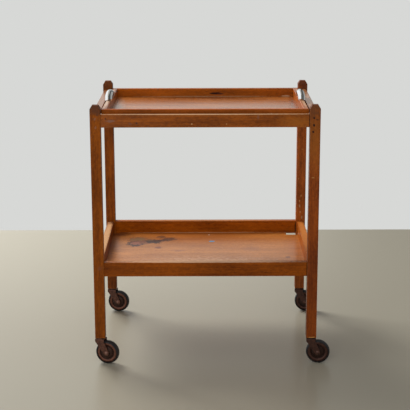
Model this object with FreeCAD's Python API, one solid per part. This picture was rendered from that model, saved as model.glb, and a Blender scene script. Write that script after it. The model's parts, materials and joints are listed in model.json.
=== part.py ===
"""Two-tier wooden tea trolley on four swivel castors, with a lift-out tray on its top tier.

Everything is drawn in a bench frame: X runs along the trolley from its left end to its right end with zero
at the middle, Y runs from the front posts' front faces backwards, and Z runs up from the posts' feet. The
last step moves the whole trolley so that its origin is the bottom centre of its bounding box. Sizes are in
millimetres.
"""
import FreeCAD, Part
import math
import os

# ---- Frame: posts and rails ------------------------------------------------------------------------------
frame_length = 610.0          # outside to outside of the posts, along X
frame_depth = 470.0           # outside to outside of the posts, along Y
post_side = 28.0              # square section of a post
post_length = 648.0
post_chamfer_in = 6.0         # how far the bevel round a post's top comes in
post_chamfer_down = 10.0      # and how far it comes down
post_edge_radius = 1.5
rail_thickness = 19.0
top_rail_height = 36.0
top_rail_drop = 23.5          # from the posts' tops down to the top rails' upper edge
lower_rail_height = 39.0
lower_rail_top = 215.5        # height of the lower rails' upper edge
rail_edge_radius = 1.2
tenon_thickness = 8.0
tenon_shoulder = 5.0          # a tenon is this much lower than its rail, above and below
tenon_mitre_gap = 0.5         # left between the mitred ends of two tenons that meet in a post

# ---- Lower shelf -----------------------------------------------------------------------------------------
shelf_thickness = 4.0
shelf_tongue = 3.0            # thickness of the panel's rebated edge
shelf_rebate = 6.0            # how far that edge reaches under each lower rail
shelf_field_gap = 0.3         # between the panel's full thickness and the rails
shelf_corner_clearance = 1.0  # round the front posts
back_left_notch = (14.0, 6.0)     # open corner of the panel beyond the back left post, along X and Y
back_right_notch = (31.0, 28.0)   # and beyond the back right post
pin_side = 1.8                # cut pins are square
pin_length = 14.0
pins_long_side = 4
pins_short_side = 3

# ---- Tray ------------------------------------------------------------------------------------------------
tray_rim_height = 30.0
tray_end_thickness = 14.0     # rims that carry the handles
tray_side_thickness = 10.0    # front and back rims
tray_stand = 6.0              # the rims' tops stand this far above the top rails, at the tray's middle
tray_pitch = 1.0              # degrees that the tray and its bearers rise towards the front
tray_base_thickness = 4.0
tray_base_tongue = 3.0        # thickness of the base's rebated edge
tray_base_lift = 2.0          # the base's underside is this far above the rims' undersides
tray_groove = 4.0             # how far that edge is let into the rims
tray_field_gap = 0.3          # between the base's full thickness and the rims
tray_clearance = 1.5          # between the tray and the posts, and between it and the front and back rails
tray_rim_radius = 2.2
tray_seat_gap = 0.3           # the tray rests this far above its bearers
bearer_width = 18.0
bearer_height = 10.0
bearer_end_gap = 1.0          # between a bearer's ends and the posts
screw_length = 26.0
screw_radius = 1.9
screw_head_radius = 3.8
screws_per_bearer = 2

# ---- Bow handles -----------------------------------------------------------------------------------------
handle_length = 106.0
handle_rise = 24.0
handle_width = 21.0           # of the strap halfway along
handle_foot_width = 19.0      # and at each foot
handle_crown = 11.0           # thickness of the strap's crowned back halfway along
handle_foot_crown = 5.5       # and at each foot
handle_edge = 1.4             # thickness of the strap along its two edges
handle_corner_radius = 9.0
handle_bow_radius = 300.0     # of the shallow bow between the two corners
handle_foot_rise = 0.5        # least upright length of the strap above each foot
handle_boss_radius = 4.5
handle_boss_height = 9.0
handle_boss_sink = 0.7        # how far a boss runs into the strap
handle_screw_radius = 2.0
handle_screw_head_radius = 4.0
handle_screw_head_height = 2.6
handle_screw_bite = 7.0       # thread inside a handle's boss

# ---- Castors ---------------------------------------------------------------------------------------------
castor_height = 75.5          # floor to the post's foot
wheel_diameter = 66.0
wheel_trail = 20.0            # from the swivel axis to the wheel's axis
tyre_width = 18.0
tyre_thickness = 4.5
tyre_shoulder = 3.4           # how far the shoulders' two bevels come in, across and down
tyre_shoulder_step = 0.29     # where the two bevels meet, as a share of that
tyre_wall_height = 0.6        # flat side wall between the disc and the shoulder
disc_edge_width = 13.0        # width of the disc where the tyre sits on it
disc_rim_bulge = 1.2          # the ring inside the tyre stands out by this much on each side
disc_groove_radius = 18.5     # middle of the round groove on each face of the disc
disc_groove_width = 3.6       # at the disc's face
disc_groove_floor = 1.8       # width of its flat bottom
disc_groove_depth = 2.4
disc_centre_bulge = 1.4
hub_radius = 8.0
hub_foot_radius = 9.0         # where the hub's slope meets the dished middle
hub_side_gap = 0.5            # between the hub's end and the fork's plate
axle_radius = 2.5
axle_running_gap = 0.05
axle_head_radius = 4.6
axle_head_height = 2.0
axle_head_top = 2.6           # radius of the flat top that the rivet set leaves
plate_thickness = 2.0         # sheet that the fork is pressed from
fork_clearance = 2.0          # between the tyre's side and the fork's plate
fork_front_reach = 12.0       # from the swivel axis to the plates' leading edge
fork_back_reach = 13.5        # and to their trailing edge
fork_collar_drop = 11.0       # height of the fork's collar under the post
fork_foot_radius = 7.5        # round end of a plate at the axle
fork_bend_radius = 3.0
socket_radius = 5.5
socket_depth = 38.0
flange_radius = 13.5
flange_thickness = 1.2
stem_radius = 3.95
stem_running_gap = 0.05
stem_tip_gap = 2.0            # between the stem's tip and the top of the socket
stem_tip_bevel = 2.0
stem_rivet_radius = 6.0
stem_rivet_height = 1.6
ring_radius = 12.0
ring_height = 1.8
ring_running_gap = 0.3        # between the socket's flange and the thrust ring
castor_turn = {"front_left": 16.0, "front_right": 8.0, "back_left": 12.0, "back_right": 12.0}

# ---- Places worked out from the sizes above --------------------------------------------------------------
top_rail_top = post_length - top_rail_drop
post_inner_x = frame_length / 2 - post_side
post_x = frame_length / 2 - post_side / 2
front_post_y = post_side / 2
back_post_y = frame_depth - post_side / 2
rail_setback = (post_side - rail_thickness) / 2
rail_inner_x = frame_length / 2 - rail_setback - rail_thickness
front_rail_inner_y = rail_setback + rail_thickness
back_rail_inner_y = frame_depth - front_rail_inner_y
side_rail_length = frame_length - 2 * post_side
end_rail_length = frame_depth - 2 * post_side
lower_rail_bottom = lower_rail_top - lower_rail_height
tray_half_length = post_inner_x - tray_clearance
tray_front_y = front_rail_inner_y + tray_clearance
tray_back_y = back_rail_inner_y - tray_clearance
tray_mid_y = (tray_front_y + tray_back_y) / 2
tray_rim_top = top_rail_top + tray_stand
tray_bottom = tray_rim_top - tray_rim_height
tray_base_bottom = tray_bottom + tray_base_lift
tray_base_top = tray_base_bottom + tray_base_thickness
bearer_top = tray_bottom - tray_seat_gap
handle_x = tray_half_length - tray_end_thickness / 2
wheel_radius = wheel_diameter / 2
wheel_axis_z = wheel_radius - castor_height
disc_radius = wheel_radius - tyre_thickness
tyre_corner = min(tyre_shoulder, tyre_thickness - tyre_wall_height)
plate_inside = tyre_width / 2 + fork_clearance
plate_outside = plate_inside + plate_thickness
ring_top = -flange_thickness - ring_running_gap
crown_top = ring_top - ring_height
crown_bottom = crown_top - plate_thickness
post_places = {
    "front_left": (-post_x, front_post_y),
    "front_right": (post_x, front_post_y),
    "back_left": (-post_x, back_post_y),
    "back_right": (post_x, back_post_y),
}


# ---- Small makers ----------------------------------------------------------------------------------------
def vector(x, y, z=0.0):
    """A point or a direction."""
    return FreeCAD.Vector(x, y, z)


def block(low, high):
    """A box between two opposite corners."""
    size = [h - l for l, h in zip(low, high)]
    return Part.makeBox(*size, vector(*low))


def rod(radius, start, end):
    """A round bar between two points."""
    start, end = vector(*start), vector(*end)
    return Part.makeCylinder(radius, (end - start).Length, start, end - start)


def prism(points, depth, along):
    """A flat outline pushed along a direction."""
    wire = Part.makePolygon([vector(*p) for p in points + points[:1]])
    return Part.Face(wire).extrude(vector(*along) * depth)


def turned(edges, axis):
    """A solid of revolution about an axis through the origin, from a closed chain of edges."""
    solid = Part.Face(Part.Wire(Part.__sortEdges__(edges))).revolve(vector(0, 0, 0), axis, 360)
    if solid.Volume < 0:
        solid.reverse()
    return solid


def line(a, b):
    """A straight edge between two points."""
    return Part.LineSegment(vector(*a), vector(*b)).toShape()


def outline(points):
    """The edges of a closed outline through the points."""
    return [line(a, b) for a, b in zip(points, points[1:] + points[:1])]


def arc(a, middle, b):
    """An arc from a to b that passes through the middle point."""
    return Part.Arc(vector(*a), vector(*middle), vector(*b)).toShape()


def rounded(solid, radius, chosen):
    """The solid with the chosen edges rounded."""
    return solid.makeFillet(radius, [edge for edge in solid.Edges if chosen(edge)])


def runs_along(edge, axis):
    """True for a straight edge that runs along the axis, 0 for X, 1 for Y and 2 for Z."""
    if edge.Curve.TypeId != "Part::GeomLine":
        return False
    return abs(edge.tangentAt(edge.FirstParameter)[axis]) > 0.999


def placed(shape, x, y, z=0.0, turn=0.0):
    """A copy of the shape turned about the vertical axis and then moved."""
    copy = shape.copy()
    copy.rotate(vector(0, 0, 0), vector(0, 0, 1), turn)
    copy.translate(vector(x, y, z))
    return copy


def tipped(shape):
    """A copy of the shape turned with the tray, about a line through the middle of its base along X."""
    copy = shape.copy()
    copy.rotate(vector(0, tray_mid_y, tray_base_top), vector(1, 0, 0), -tray_pitch)
    return copy


def group(solids):
    """Several solids as one shape."""
    return Part.makeCompound(solids)


# ---- Posts and rails -------------------------------------------------------------------------------------
def rail(length, height):
    """One rail lying along X, its outer face towards -Y, with a mitred tenon at each end.

    The body lies between the posts' faces. Each tenon runs past the post's centre on its outer side and stops
    short of it on its inner side, so that the tenons of two rails meet at 45 degrees inside the post.
    """
    half = rail_thickness / 2
    body = block((-length / 2, -half, 0), (length / 2, half, height))
    body = rounded(body, rail_edge_radius, lambda edge: runs_along(edge, 0))
    reach = length / 2 + post_side / 2 - tenon_mitre_gap
    cheek = tenon_thickness / 2
    long_end, short_end = reach + cheek, reach - cheek
    corners = [(-long_end, -cheek), (long_end, -cheek), (short_end, cheek), (-short_end, cheek)]
    tenons = prism([(x, y, tenon_shoulder) for x, y in corners], height - 2 * tenon_shoulder, (0, 0, 1))
    return body.fuse(tenons).removeSplitter()


def rails(height, top):
    """The four rails of one tier, by side."""
    side, end, bottom = rail(side_rail_length, height), rail(end_rail_length, height), top - height
    centre_line = rail_setback + rail_thickness / 2
    return {
        "front": placed(side, 0, centre_line, bottom),
        "back": placed(side, 0, frame_depth - centre_line, bottom, 180),
        "left": placed(end, centre_line - frame_length / 2, frame_depth / 2, bottom, -90),
        "right": placed(end, frame_length / 2 - centre_line, frame_depth / 2, bottom, 90),
    }


def post_blank():
    """A square post, centred on its own axis, with rounded arrises and a four-sided bevel round its top."""
    half = post_side / 2
    blank = block((-half, -half, 0), (half, half, post_length))
    blank = rounded(blank, post_edge_radius, lambda edge: runs_along(edge, 2))
    bevel = [
        (half - post_chamfer_in, 0, post_length),
        (half, 0, post_length - post_chamfer_down),
        (half + post_chamfer_in, 0, post_length - post_chamfer_down),
        (half + post_chamfer_in, 0, post_length + post_chamfer_down),
        (half - post_chamfer_in, 0, post_length + post_chamfer_down),
    ]
    wedge = prism([(x, -post_side, z) for x, _, z in bevel], 2 * post_side, (0, 1, 0))
    for quarter in range(4):
        blank = blank.cut(placed(wedge, 0, 0, 0, 90 * quarter))
    return blank


def post(place, joined_rails):
    """A post bored for its castor socket and mortised for the rails that meet in it."""
    made = placed(post_blank(), *post_places[place])
    bore = rod(socket_radius, (0, 0, -1), (0, 0, socket_depth))
    made = made.cut(placed(bore, *post_places[place]))
    for joined in joined_rails:
        made = made.cut(joined)
    return made


# ---- Lower shelf -----------------------------------------------------------------------------------------
def shelf_panel():
    """The thin panel, flush with the lower rails' undersides, with each corner notched round its post.

    Its edges are rebated to a tongue that lies under the rails, and its full thickness fills the space
    between them.
    """
    edge_x = rail_inner_x + shelf_rebate
    low_y, high_y = front_rail_inner_y - shelf_rebate, back_rail_inner_y + shelf_rebate
    tongue_top, top = lower_rail_bottom + shelf_tongue, lower_rail_bottom + shelf_thickness
    tongue = block((-edge_x, low_y, lower_rail_bottom), (edge_x, high_y, tongue_top))
    inset = shelf_rebate + shelf_field_gap
    field = block((inset - edge_x, low_y + inset, lower_rail_bottom), (edge_x - inset, high_y - inset, top))
    panel = tongue.fuse(field).removeSplitter()
    snug = (shelf_corner_clearance, shelf_corner_clearance)
    notches = {"back_left": back_left_notch, "back_right": back_right_notch}
    for place, (x, y) in post_places.items():
        along_x, along_y = notches.get(place, snug)
        reach_x, reach_y = post_side / 2 + along_x, post_side / 2 + along_y
        low = (x - reach_x, y - reach_y, lower_rail_bottom - shelf_thickness)
        high = (x + reach_x, y + reach_y, top + shelf_thickness)
        panel = panel.cut(block(low, high))
    return panel


def pin_places():
    """Where the panel pins go, in the middle of the rebate all round."""
    edge_x = rail_inner_x + shelf_rebate / 2
    low_y, high_y = front_rail_inner_y - shelf_rebate / 2, back_rail_inner_y + shelf_rebate / 2
    step_x = side_rail_length / (pins_long_side + 1)
    step_y = end_rail_length / (pins_short_side + 1)
    places = []
    for number in range(pins_long_side):
        x = step_x * (number - (pins_long_side - 1) / 2)
        places += [(x, low_y), (x, high_y)]
    for number in range(pins_short_side):
        y = frame_depth / 2 + step_y * (number - (pins_short_side - 1) / 2)
        places += [(-edge_x, y), (edge_x, y)]
    return places


def shelf_pin():
    """A square cut pin driven upwards until it is flush with the panel's underside."""
    half = pin_side / 2
    return block((-half, -half, 0), (half, half, pin_length))


# ---- Tray ------------------------------------------------------------------------------------------------
def rim(length, thickness, meeting):
    """One rim lying along X with its outer face at y = 0, its well towards +Y and mitred ends.

    meeting is the thickness of the rims that it meets, so that both mitres end at the same corners.
    """
    body = block((-length / 2, 0, 0), (length / 2, thickness, tray_rim_height))
    upper = [edge for edge in body.Edges if runs_along(edge, 0) and edge.BoundBox.ZMin > tray_rim_height / 2]
    body = body.makeFillet(tray_rim_radius, upper)
    low = tray_base_bottom - tray_bottom
    groove_y, groove_top = thickness - tray_groove, low + tray_base_tongue
    body = body.cut(block((-length, groove_y, low), (length, thickness, groove_top)))
    for side in (-1, 1):
        end, past = side * length / 2, side * (length / 2 + 1)
        waste = [(end, 0), (past, 0), (past, 2 * thickness), (end - side * 2 * meeting, 2 * thickness)]
        body = body.cut(prism([(x, y, -1) for x, y in waste], tray_rim_height + 2, (0, 0, 1)))
    return body


def tray_base():
    """The tray's thin base, its edges rebated to a tongue that lies in the rims' grooves."""
    edge_x = tray_half_length - tray_end_thickness + tray_groove
    low_y = tray_front_y + tray_side_thickness - tray_groove
    high_y = tray_back_y - tray_side_thickness + tray_groove
    tongue_top = tray_base_bottom + tray_base_tongue
    tongue = block((-edge_x, low_y, tray_base_bottom), (edge_x, high_y, tongue_top))
    inset = tray_groove + tray_field_gap
    low = (inset - edge_x, low_y + inset, tray_base_bottom)
    high = (edge_x - inset, high_y - inset, tray_base_top)
    field = block(low, high)
    return tongue.fuse(field).removeSplitter()


def tray_parts():
    """The tray's four rims and its base."""
    side = rim(2 * tray_half_length, tray_side_thickness, tray_end_thickness)
    end = rim(tray_back_y - tray_front_y, tray_end_thickness, tray_side_thickness)
    return {
        "tray_rim_front": placed(side, 0, tray_front_y, tray_bottom),
        "tray_rim_back": placed(side, 0, tray_back_y, tray_bottom, 180),
        "tray_rim_left": placed(end, -tray_half_length, tray_mid_y, tray_bottom, -90),
        "tray_rim_right": placed(end, tray_half_length, tray_mid_y, tray_bottom, 90),
        "tray_base": tray_base(),
    }


def bearer(side):
    """A strip on the inner face of an end rail that carries the tray. side is -1 for left and 1 for right."""
    inner, outer = sorted((side * (rail_inner_x - bearer_width), side * rail_inner_x))
    end = post_side + bearer_end_gap
    return tipped(block((inner, end, bearer_top - bearer_height), (outer, frame_depth - end, bearer_top)))


def bearer_screw(side, y):
    """A countersunk screw that runs through a bearer into its end rail."""
    start = side * (rail_inner_x - bearer_width)
    z = bearer_top - bearer_height / 2
    shank = rod(screw_radius, (start, y, z), (start + side * screw_length, y, z))
    taper = screw_head_radius - screw_radius
    head = Part.makeCone(screw_head_radius, screw_radius, taper, vector(start, y, z), vector(side, 0, 0))
    return tipped(head.fuse(shank).removeSplitter())


def bearer_screws(side):
    """The screws of one bearer, evenly spaced about its middle."""
    step = end_rail_length / screws_per_bearer
    middle = (screws_per_bearer - 1) / 2
    places = [frame_depth / 2 + step * (number - middle) for number in range(screws_per_bearer)]
    return [bearer_screw(side, y) for y in places]


# ---- Bow handle ------------------------------------------------------------------------------------------
def handle_path():
    """The line along the strap's underside, in the plane x = 0.

    It runs up, round a corner, over a shallow bow, round the other corner and down. The corner arcs touch the
    bow from inside, so that the line has no kink.
    """
    foot_y, top_z = handle_length / 2 - handle_foot_crown, handle_rise - handle_crown
    sag = foot_y ** 2 / (2 * handle_bow_radius)
    corner = min(handle_corner_radius, top_z - sag - handle_foot_rise)
    across, between = foot_y - corner, handle_bow_radius - corner
    bow_z = top_z - handle_bow_radius
    foot_z = bow_z + math.sqrt(between ** 2 - across ** 2)
    touch_y = handle_bow_radius * across / between
    touch_z = bow_z + handle_bow_radius * (foot_z - bow_z) / between
    half_turn = math.atan2(foot_z - bow_z, -across) / 2 + math.pi / 2
    middle_y, middle_z = corner * math.cos(half_turn) - across, corner * math.sin(half_turn) + foot_z
    return Part.Wire([
        line((0, -foot_y, 0), (0, -foot_y, foot_z)),
        arc((0, -foot_y, foot_z), (0, middle_y, middle_z), (0, -touch_y, touch_z)),
        arc((0, -touch_y, touch_z), (0, 0, top_z), (0, touch_y, touch_z)),
        arc((0, touch_y, touch_z), (0, -middle_y, middle_z), (0, foot_y, foot_z)),
        line((0, foot_y, foot_z), (0, foot_y, 0)),
    ])


def handle_bosses():
    """Where the two bosses stand along the handle, measured from its middle."""
    reach = handle_length / 2 - handle_foot_crown + handle_boss_sink - handle_boss_radius
    return -reach, reach


def strap_section(width, crown, inside, outwards):
    """A section of the strap: flat on its inside, with a crowned back.

    inside is the middle of the flat, and outwards is the direction from there to the back.
    """
    middle, out, across = vector(*inside), vector(*outwards), vector(width / 2, 0)
    right, left = middle + across, middle - across
    right_back, left_back = right + out * handle_edge, left + out * handle_edge
    return Part.Wire([
        line(right, left),
        line(left, left_back),
        arc(left_back, middle + out * crown, right_back),
        line(right_back, right),
    ])


def bow_handle():
    """A strap with a crowned back, bowed over a finger gap, with a threaded boss inside each foot.

    The strap swells from its feet to its middle, both in width and in crown.
    """
    foot_y = handle_length / 2 - handle_foot_crown
    sections = [
        strap_section(handle_foot_width, handle_foot_crown, (0, -foot_y, 0), (0, -1, 0)),
        strap_section(handle_width, handle_crown, (0, 0, handle_rise - handle_crown), (0, 0, 1)),
        strap_section(handle_foot_width, handle_foot_crown, (0, foot_y, 0), (0, 1, 0)),
    ]
    strap = handle_path().makePipeShell(sections, True, False, 1)
    for y in handle_bosses():
        strap = strap.fuse(rod(handle_boss_radius, (0, y, 0), (0, y, handle_boss_height)))
    strap = strap.removeSplitter()
    for y in handle_bosses():
        strap = strap.cut(rod(handle_screw_radius, (0, y, -1), (0, y, handle_screw_bite)))
    return strap


def handle_screw():
    """A machine screw standing on its head, with z = 0 at the tray's underside."""
    head = rod(handle_screw_head_radius, (0, 0, 0), (0, 0, handle_screw_head_height))
    shank = rod(handle_screw_radius, (0, 0, 0), (0, 0, tray_rim_height + handle_screw_bite))
    return head.fuse(shank).removeSplitter()


# ---- Castor ----------------------------------------------------------------------------------------------
def fork_outline():
    """The outline of a fork plate in the plane y = 0: a collar, then a taper to a round foot at the axle."""
    axle = (wheel_trail, wheel_axis_z)

    def tangent_point(corner, side):
        """Where a line from the corner touches the round foot."""
        dx, dz = axle[0] - corner[0], axle[1] - corner[1]
        away = math.hypot(dx, dz)
        swing = math.asin(fork_foot_radius / away)
        heading = math.atan2(dz, dx) + side * swing
        reach = math.sqrt(away ** 2 - fork_foot_radius ** 2)
        return corner[0] + reach * math.cos(heading), corner[1] + reach * math.sin(heading)

    lead = (-fork_front_reach, -fork_collar_drop)
    trailing = (fork_back_reach, -fork_collar_drop)
    lead_touch, trailing_touch = tangent_point(lead, -1), tangent_point(trailing, 1)
    first, last = [math.atan2(z - axle[1], x - axle[0]) % math.tau for x, z in (lead_touch, trailing_touch)]
    halfway = first + ((last - first) % math.tau) / 2
    bottom = (axle[0] + fork_foot_radius * math.cos(halfway), axle[1] + fork_foot_radius * math.sin(halfway))
    points = [(-fork_front_reach, crown_top), lead, lead_touch]
    edges = [line(*[(x, 0, z) for x, z in pair]) for pair in zip(points, points[1:])]
    edges.append(arc(*[(x, 0, z) for x, z in (lead_touch, bottom, trailing_touch)]))
    points = [trailing_touch, trailing, (fork_back_reach, crown_top), (-fork_front_reach, crown_top)]
    edges += [line(*[(x, 0, z) for x, z in pair]) for pair in zip(points, points[1:])]
    return Part.Wire(edges)


def castor_fork():
    """A fork pressed from one sheet: a flat crown under the post and a plate down each side of the wheel."""
    side_view = Part.Face(fork_outline())
    side_view.translate(vector(0, -plate_outside, 0))
    solid = side_view.extrude(vector(0, 2 * plate_outside, 0))
    top_edges = [e for e in solid.Edges if runs_along(e, 0) and e.BoundBox.ZMin > crown_top - 0.01]
    solid = solid.makeFillet(fork_bend_radius, top_edges)
    reach = fork_front_reach + fork_back_reach + wheel_diameter
    inside = block((-reach, -plate_inside, -castor_height), (reach, plate_inside, crown_bottom))
    inner_bend = max(fork_bend_radius - plate_thickness, 0.3)
    inside = rounded(inside, inner_bend, lambda e: runs_along(e, 0) and e.BoundBox.ZMin > crown_bottom - 0.01)
    solid = solid.cut(inside)
    solid = solid.cut(rod(stem_radius, (0, 0, crown_bottom - 1), (0, 0, crown_top + 1)))
    past = plate_outside + 1
    return solid.cut(rod(axle_radius, (wheel_trail, -past, wheel_axis_z), (wheel_trail, past, wheel_axis_z)))


def castor_stem():
    """The pintle riveted through the crown, which turns in the socket."""
    tip = socket_depth - stem_tip_gap
    stem = rod(stem_radius, (0, 0, crown_bottom), (0, 0, tip))
    stem = stem.makeChamfer(stem_tip_bevel, [e for e in stem.Edges if e.BoundBox.ZMin > tip - 0.01])
    rivet = rod(stem_rivet_radius, (0, 0, crown_bottom - stem_rivet_height), (0, 0, crown_bottom))
    return stem.fuse(rivet).removeSplitter()


def castor_socket():
    """The sleeve driven into the post, with a round flange against the post's foot."""
    bore = stem_radius + stem_running_gap
    sleeve = rod(socket_radius, (0, 0, 0), (0, 0, socket_depth))
    flange = rod(flange_radius, (0, 0, -flange_thickness), (0, 0, 0))
    return sleeve.fuse(flange).cut(rod(bore, (0, 0, -flange_thickness - 1), (0, 0, socket_depth + 1)))


def thrust_ring():
    """The turned ring between the flange and the crown, with its edge bevelled both ways."""
    middle, bevel = ring_top - ring_height / 2, ring_height / 2
    profile = [
        (stem_radius, ring_top), (ring_radius - bevel, ring_top), (ring_radius, middle),
        (ring_radius - bevel, crown_top), (stem_radius, crown_top),
    ]
    return turned(outline([(x, 0, z) for x, z in profile]), vector(0, 0, 1))


def mirrored(profile):
    """A profile of (radius, height) points, followed by its mirror image below the middle, as one loop."""
    return profile + [(x, -y) for x, y in reversed(profile)]


def wheel_axle():
    """A rivet set over each plate, with a head like a low cone."""
    end = plate_outside + axle_head_height
    profile = [
        (0, end), (axle_head_top, end), (axle_head_radius, plate_outside), (axle_radius, plate_outside),
    ]
    return turned(outline([(x, y, 0) for x, y in mirrored(profile)]), vector(0, 1, 0))


def wheel_disc():
    """The wheel's centre: a bored hub, a dished middle, a groove on each face and a ring under the tyre."""
    hub, edge = plate_inside - hub_side_gap, disc_edge_width / 2
    groove, floor = disc_groove_width / 2, disc_groove_floor / 2
    bottom = edge - disc_groove_depth
    inner, outer = disc_groove_radius - groove, disc_groove_radius + groove
    profile = [
        (axle_radius + axle_running_gap, hub), (hub_radius, hub), (hub_foot_radius, edge + disc_centre_bulge),
        (inner, edge), (disc_groove_radius - floor, bottom), (disc_groove_radius + floor, bottom),
        (outer, edge), ((outer + disc_radius) / 2, edge + disc_rim_bulge), (disc_radius, edge),
    ]
    return turned(outline([(x, y, 0) for x, y in mirrored(profile)]), vector(0, 1, 0))


def tyre():
    """A rubber ring seated on the disc, each shoulder rounded off by two bevels."""
    half, step = tyre_width / 2, tyre_corner * tyre_shoulder_step
    profile = [
        (disc_radius, half), (wheel_radius - tyre_corner, half), (wheel_radius - step, half - step),
        (wheel_radius, half - tyre_corner),
    ]
    return turned(outline([(x, y, 0) for x, y in mirrored(profile)]), vector(0, 1, 0))


def castor_parts(place):
    """One castor's pieces, turned to its own heading and moved under its post."""
    at_wheel = vector(wheel_trail, 0, wheel_axis_z)
    pieces = {"socket": castor_socket(), "ring": thrust_ring(), "stem": castor_stem(), "fork": castor_fork()}
    for name, made in (("axle", wheel_axle()), ("wheel", wheel_disc()), ("tyre", tyre())):
        made.translate(at_wheel)
        pieces[name] = made
    x, y = post_places[place]
    turn = -castor_turn[place]
    return {f"castor_{name}_{place}": placed(shape, x, y, 0, turn) for name, shape in pieces.items()}


# ---- The whole trolley -----------------------------------------------------------------------------------
def build():
    """Every node's shape in the bench frame, by node name."""
    nodes = {}
    top, lower = rails(top_rail_height, top_rail_top), rails(lower_rail_height, lower_rail_top)
    panel = shelf_panel()
    pins = [placed(shelf_pin(), x, y, lower_rail_bottom) for x, y in pin_places()]
    for place in post_places:
        front_or_back, left_or_right = place.split("_")
        joined = [tier[side] for tier in (top, lower) for side in (front_or_back, left_or_right)]
        nodes[f"post_{place}"] = post(place, joined)
    screws = bearer_screws(-1) + bearer_screws(1)
    for side, made in top.items():
        for screw in screws if side in ("left", "right") else []:
            made = made.cut(screw)
        nodes[f"top_rail_{side}"] = made
    for side, made in lower.items():
        made = made.cut(panel)
        for pin in pins:
            made = made.cut(pin)
        nodes[f"lower_rail_{side}"] = made
    for pin in pins:
        panel = panel.cut(pin)
    nodes["shelf_panel"] = panel
    nodes["shelf_pins"] = group(pins)
    for name, side in (("tray_bearer_left", -1), ("tray_bearer_right", 1)):
        strip = bearer(side)
        for screw in bearer_screws(side):
            strip = strip.cut(screw)
        nodes[name] = strip
    nodes["bearer_screws"] = group(screws)

    rims_and_base = tray_parts()
    tray_nodes = list(rims_and_base)
    nodes.update(rims_and_base)
    handle_screws = []
    for name, side in (("left", -1), ("right", 1)):
        nodes[f"handle_{name}"] = placed(bow_handle(), side * handle_x, tray_mid_y, tray_rim_top)
        for y in handle_bosses():
            screw = placed(handle_screw(), side * handle_x, tray_mid_y + y, tray_bottom)
            for drilled in (f"tray_rim_{name}", "tray_base"):
                nodes[drilled] = nodes[drilled].cut(screw)
            handle_screws.append(screw)
    nodes["handle_screws"] = group(handle_screws)
    for name in tray_nodes + ["handle_left", "handle_right", "handle_screws"]:
        nodes[name] = tipped(nodes[name])

    for place in post_places:
        nodes.update(castor_parts(place))
    return nodes


def main():
    """Builds the trolley, moves its origin to the bottom centre of its box and writes a STEP file a node."""
    os.makedirs("parts", exist_ok=True)
    nodes = build()
    whole = group(list(nodes.values())).optimalBoundingBox(False)
    shift = vector(-whole.Center.x, -whole.Center.y, -whole.ZMin)
    for name, shape in nodes.items():
        shape.translate(shift)
        shape.exportStep(f"parts/{name}.step")
    print("nodes", len(nodes), "box", [round(v, 3) for v in (whole.XLength, whole.YLength, whole.ZLength)])
    print("shift", [round(v, 4) for v in shift])
    for place, (x, y) in post_places.items():
        heading = math.radians(-castor_turn[place])
        swivel = (x + shift.x, y + shift.y)
        wheel = (swivel[0] + wheel_trail * math.cos(heading), swivel[1] + wheel_trail * math.sin(heading))
        axis = (-math.sin(heading), math.cos(heading))
        print(place, "swivel", [round(v, 4) for v in swivel], "wheel", [round(v, 4) for v in wheel],
              round(wheel_axis_z + shift.z, 4), "axis", [round(v, 6) for v in axis])


main()
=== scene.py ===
"""Dresses the two-tier tea trolley: varnished wood, chrome bow handles and bronzed castors, on a pale floor.

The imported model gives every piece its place. The wooden pieces keep their own solids and get wood made for
each board. The handles and the castors are made again here as smooth surfaces, worked out with numpy. Lengths
in the classes are in millimetres; a mesh is made in metres.
"""

import json
import logging
import math
from dataclasses import dataclass, field
from enum import Enum

import bpy
import numpy as np
from mathutils import Euler, Matrix, Vector

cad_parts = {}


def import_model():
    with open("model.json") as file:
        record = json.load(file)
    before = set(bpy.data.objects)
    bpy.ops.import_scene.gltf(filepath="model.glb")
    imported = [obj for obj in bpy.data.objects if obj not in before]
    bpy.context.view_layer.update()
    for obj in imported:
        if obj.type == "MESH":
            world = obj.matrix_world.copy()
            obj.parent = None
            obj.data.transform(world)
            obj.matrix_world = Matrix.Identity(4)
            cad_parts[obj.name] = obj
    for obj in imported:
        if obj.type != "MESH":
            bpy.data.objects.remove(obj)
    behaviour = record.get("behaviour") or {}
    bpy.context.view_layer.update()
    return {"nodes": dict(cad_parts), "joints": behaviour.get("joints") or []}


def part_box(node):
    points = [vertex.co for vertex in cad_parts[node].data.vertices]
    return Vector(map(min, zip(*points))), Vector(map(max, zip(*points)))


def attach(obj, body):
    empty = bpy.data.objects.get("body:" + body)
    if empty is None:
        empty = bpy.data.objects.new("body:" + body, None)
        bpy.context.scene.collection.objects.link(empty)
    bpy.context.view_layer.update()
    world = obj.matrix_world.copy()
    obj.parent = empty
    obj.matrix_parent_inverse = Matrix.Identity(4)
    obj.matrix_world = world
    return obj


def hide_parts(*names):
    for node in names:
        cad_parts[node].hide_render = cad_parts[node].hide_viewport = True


LOG = logging.getLogger("tea_trolley")
MM = 0.001
SMOOTH = {"interpolation_type": "SMOOTHSTEP"}
WAVE_PERIOD = 0.314     # from crest to crest of a wave texture whose scale is one
NEAR_AXIS = 0.01        # mm, where a turned profile that meets its axis begins
Socket = bpy.types.NodeSocket
Tree = bpy.types.NodeTree
Material = bpy.types.Material
Piece = bpy.types.Object
Pair = tuple[float, float]
Triple = tuple[float, float, float]


# ---- Small tools ----
def linear(colour: str) -> tuple[float, ...]:
    """Turns an sRGB hex colour into the linear colour that shaders take.

    Args:
        colour: Six hex digits after a hash.

    Returns:
        Red, green, blue and an alpha of one.
    """
    parts = [int(colour[i:i + 2], 16) / 255 for i in (1, 3, 5)]
    return *(c / 12.92 if c <= 0.04045 else ((c + 0.055) / 1.055) ** 2.4 for c in parts), 1.0


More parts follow.
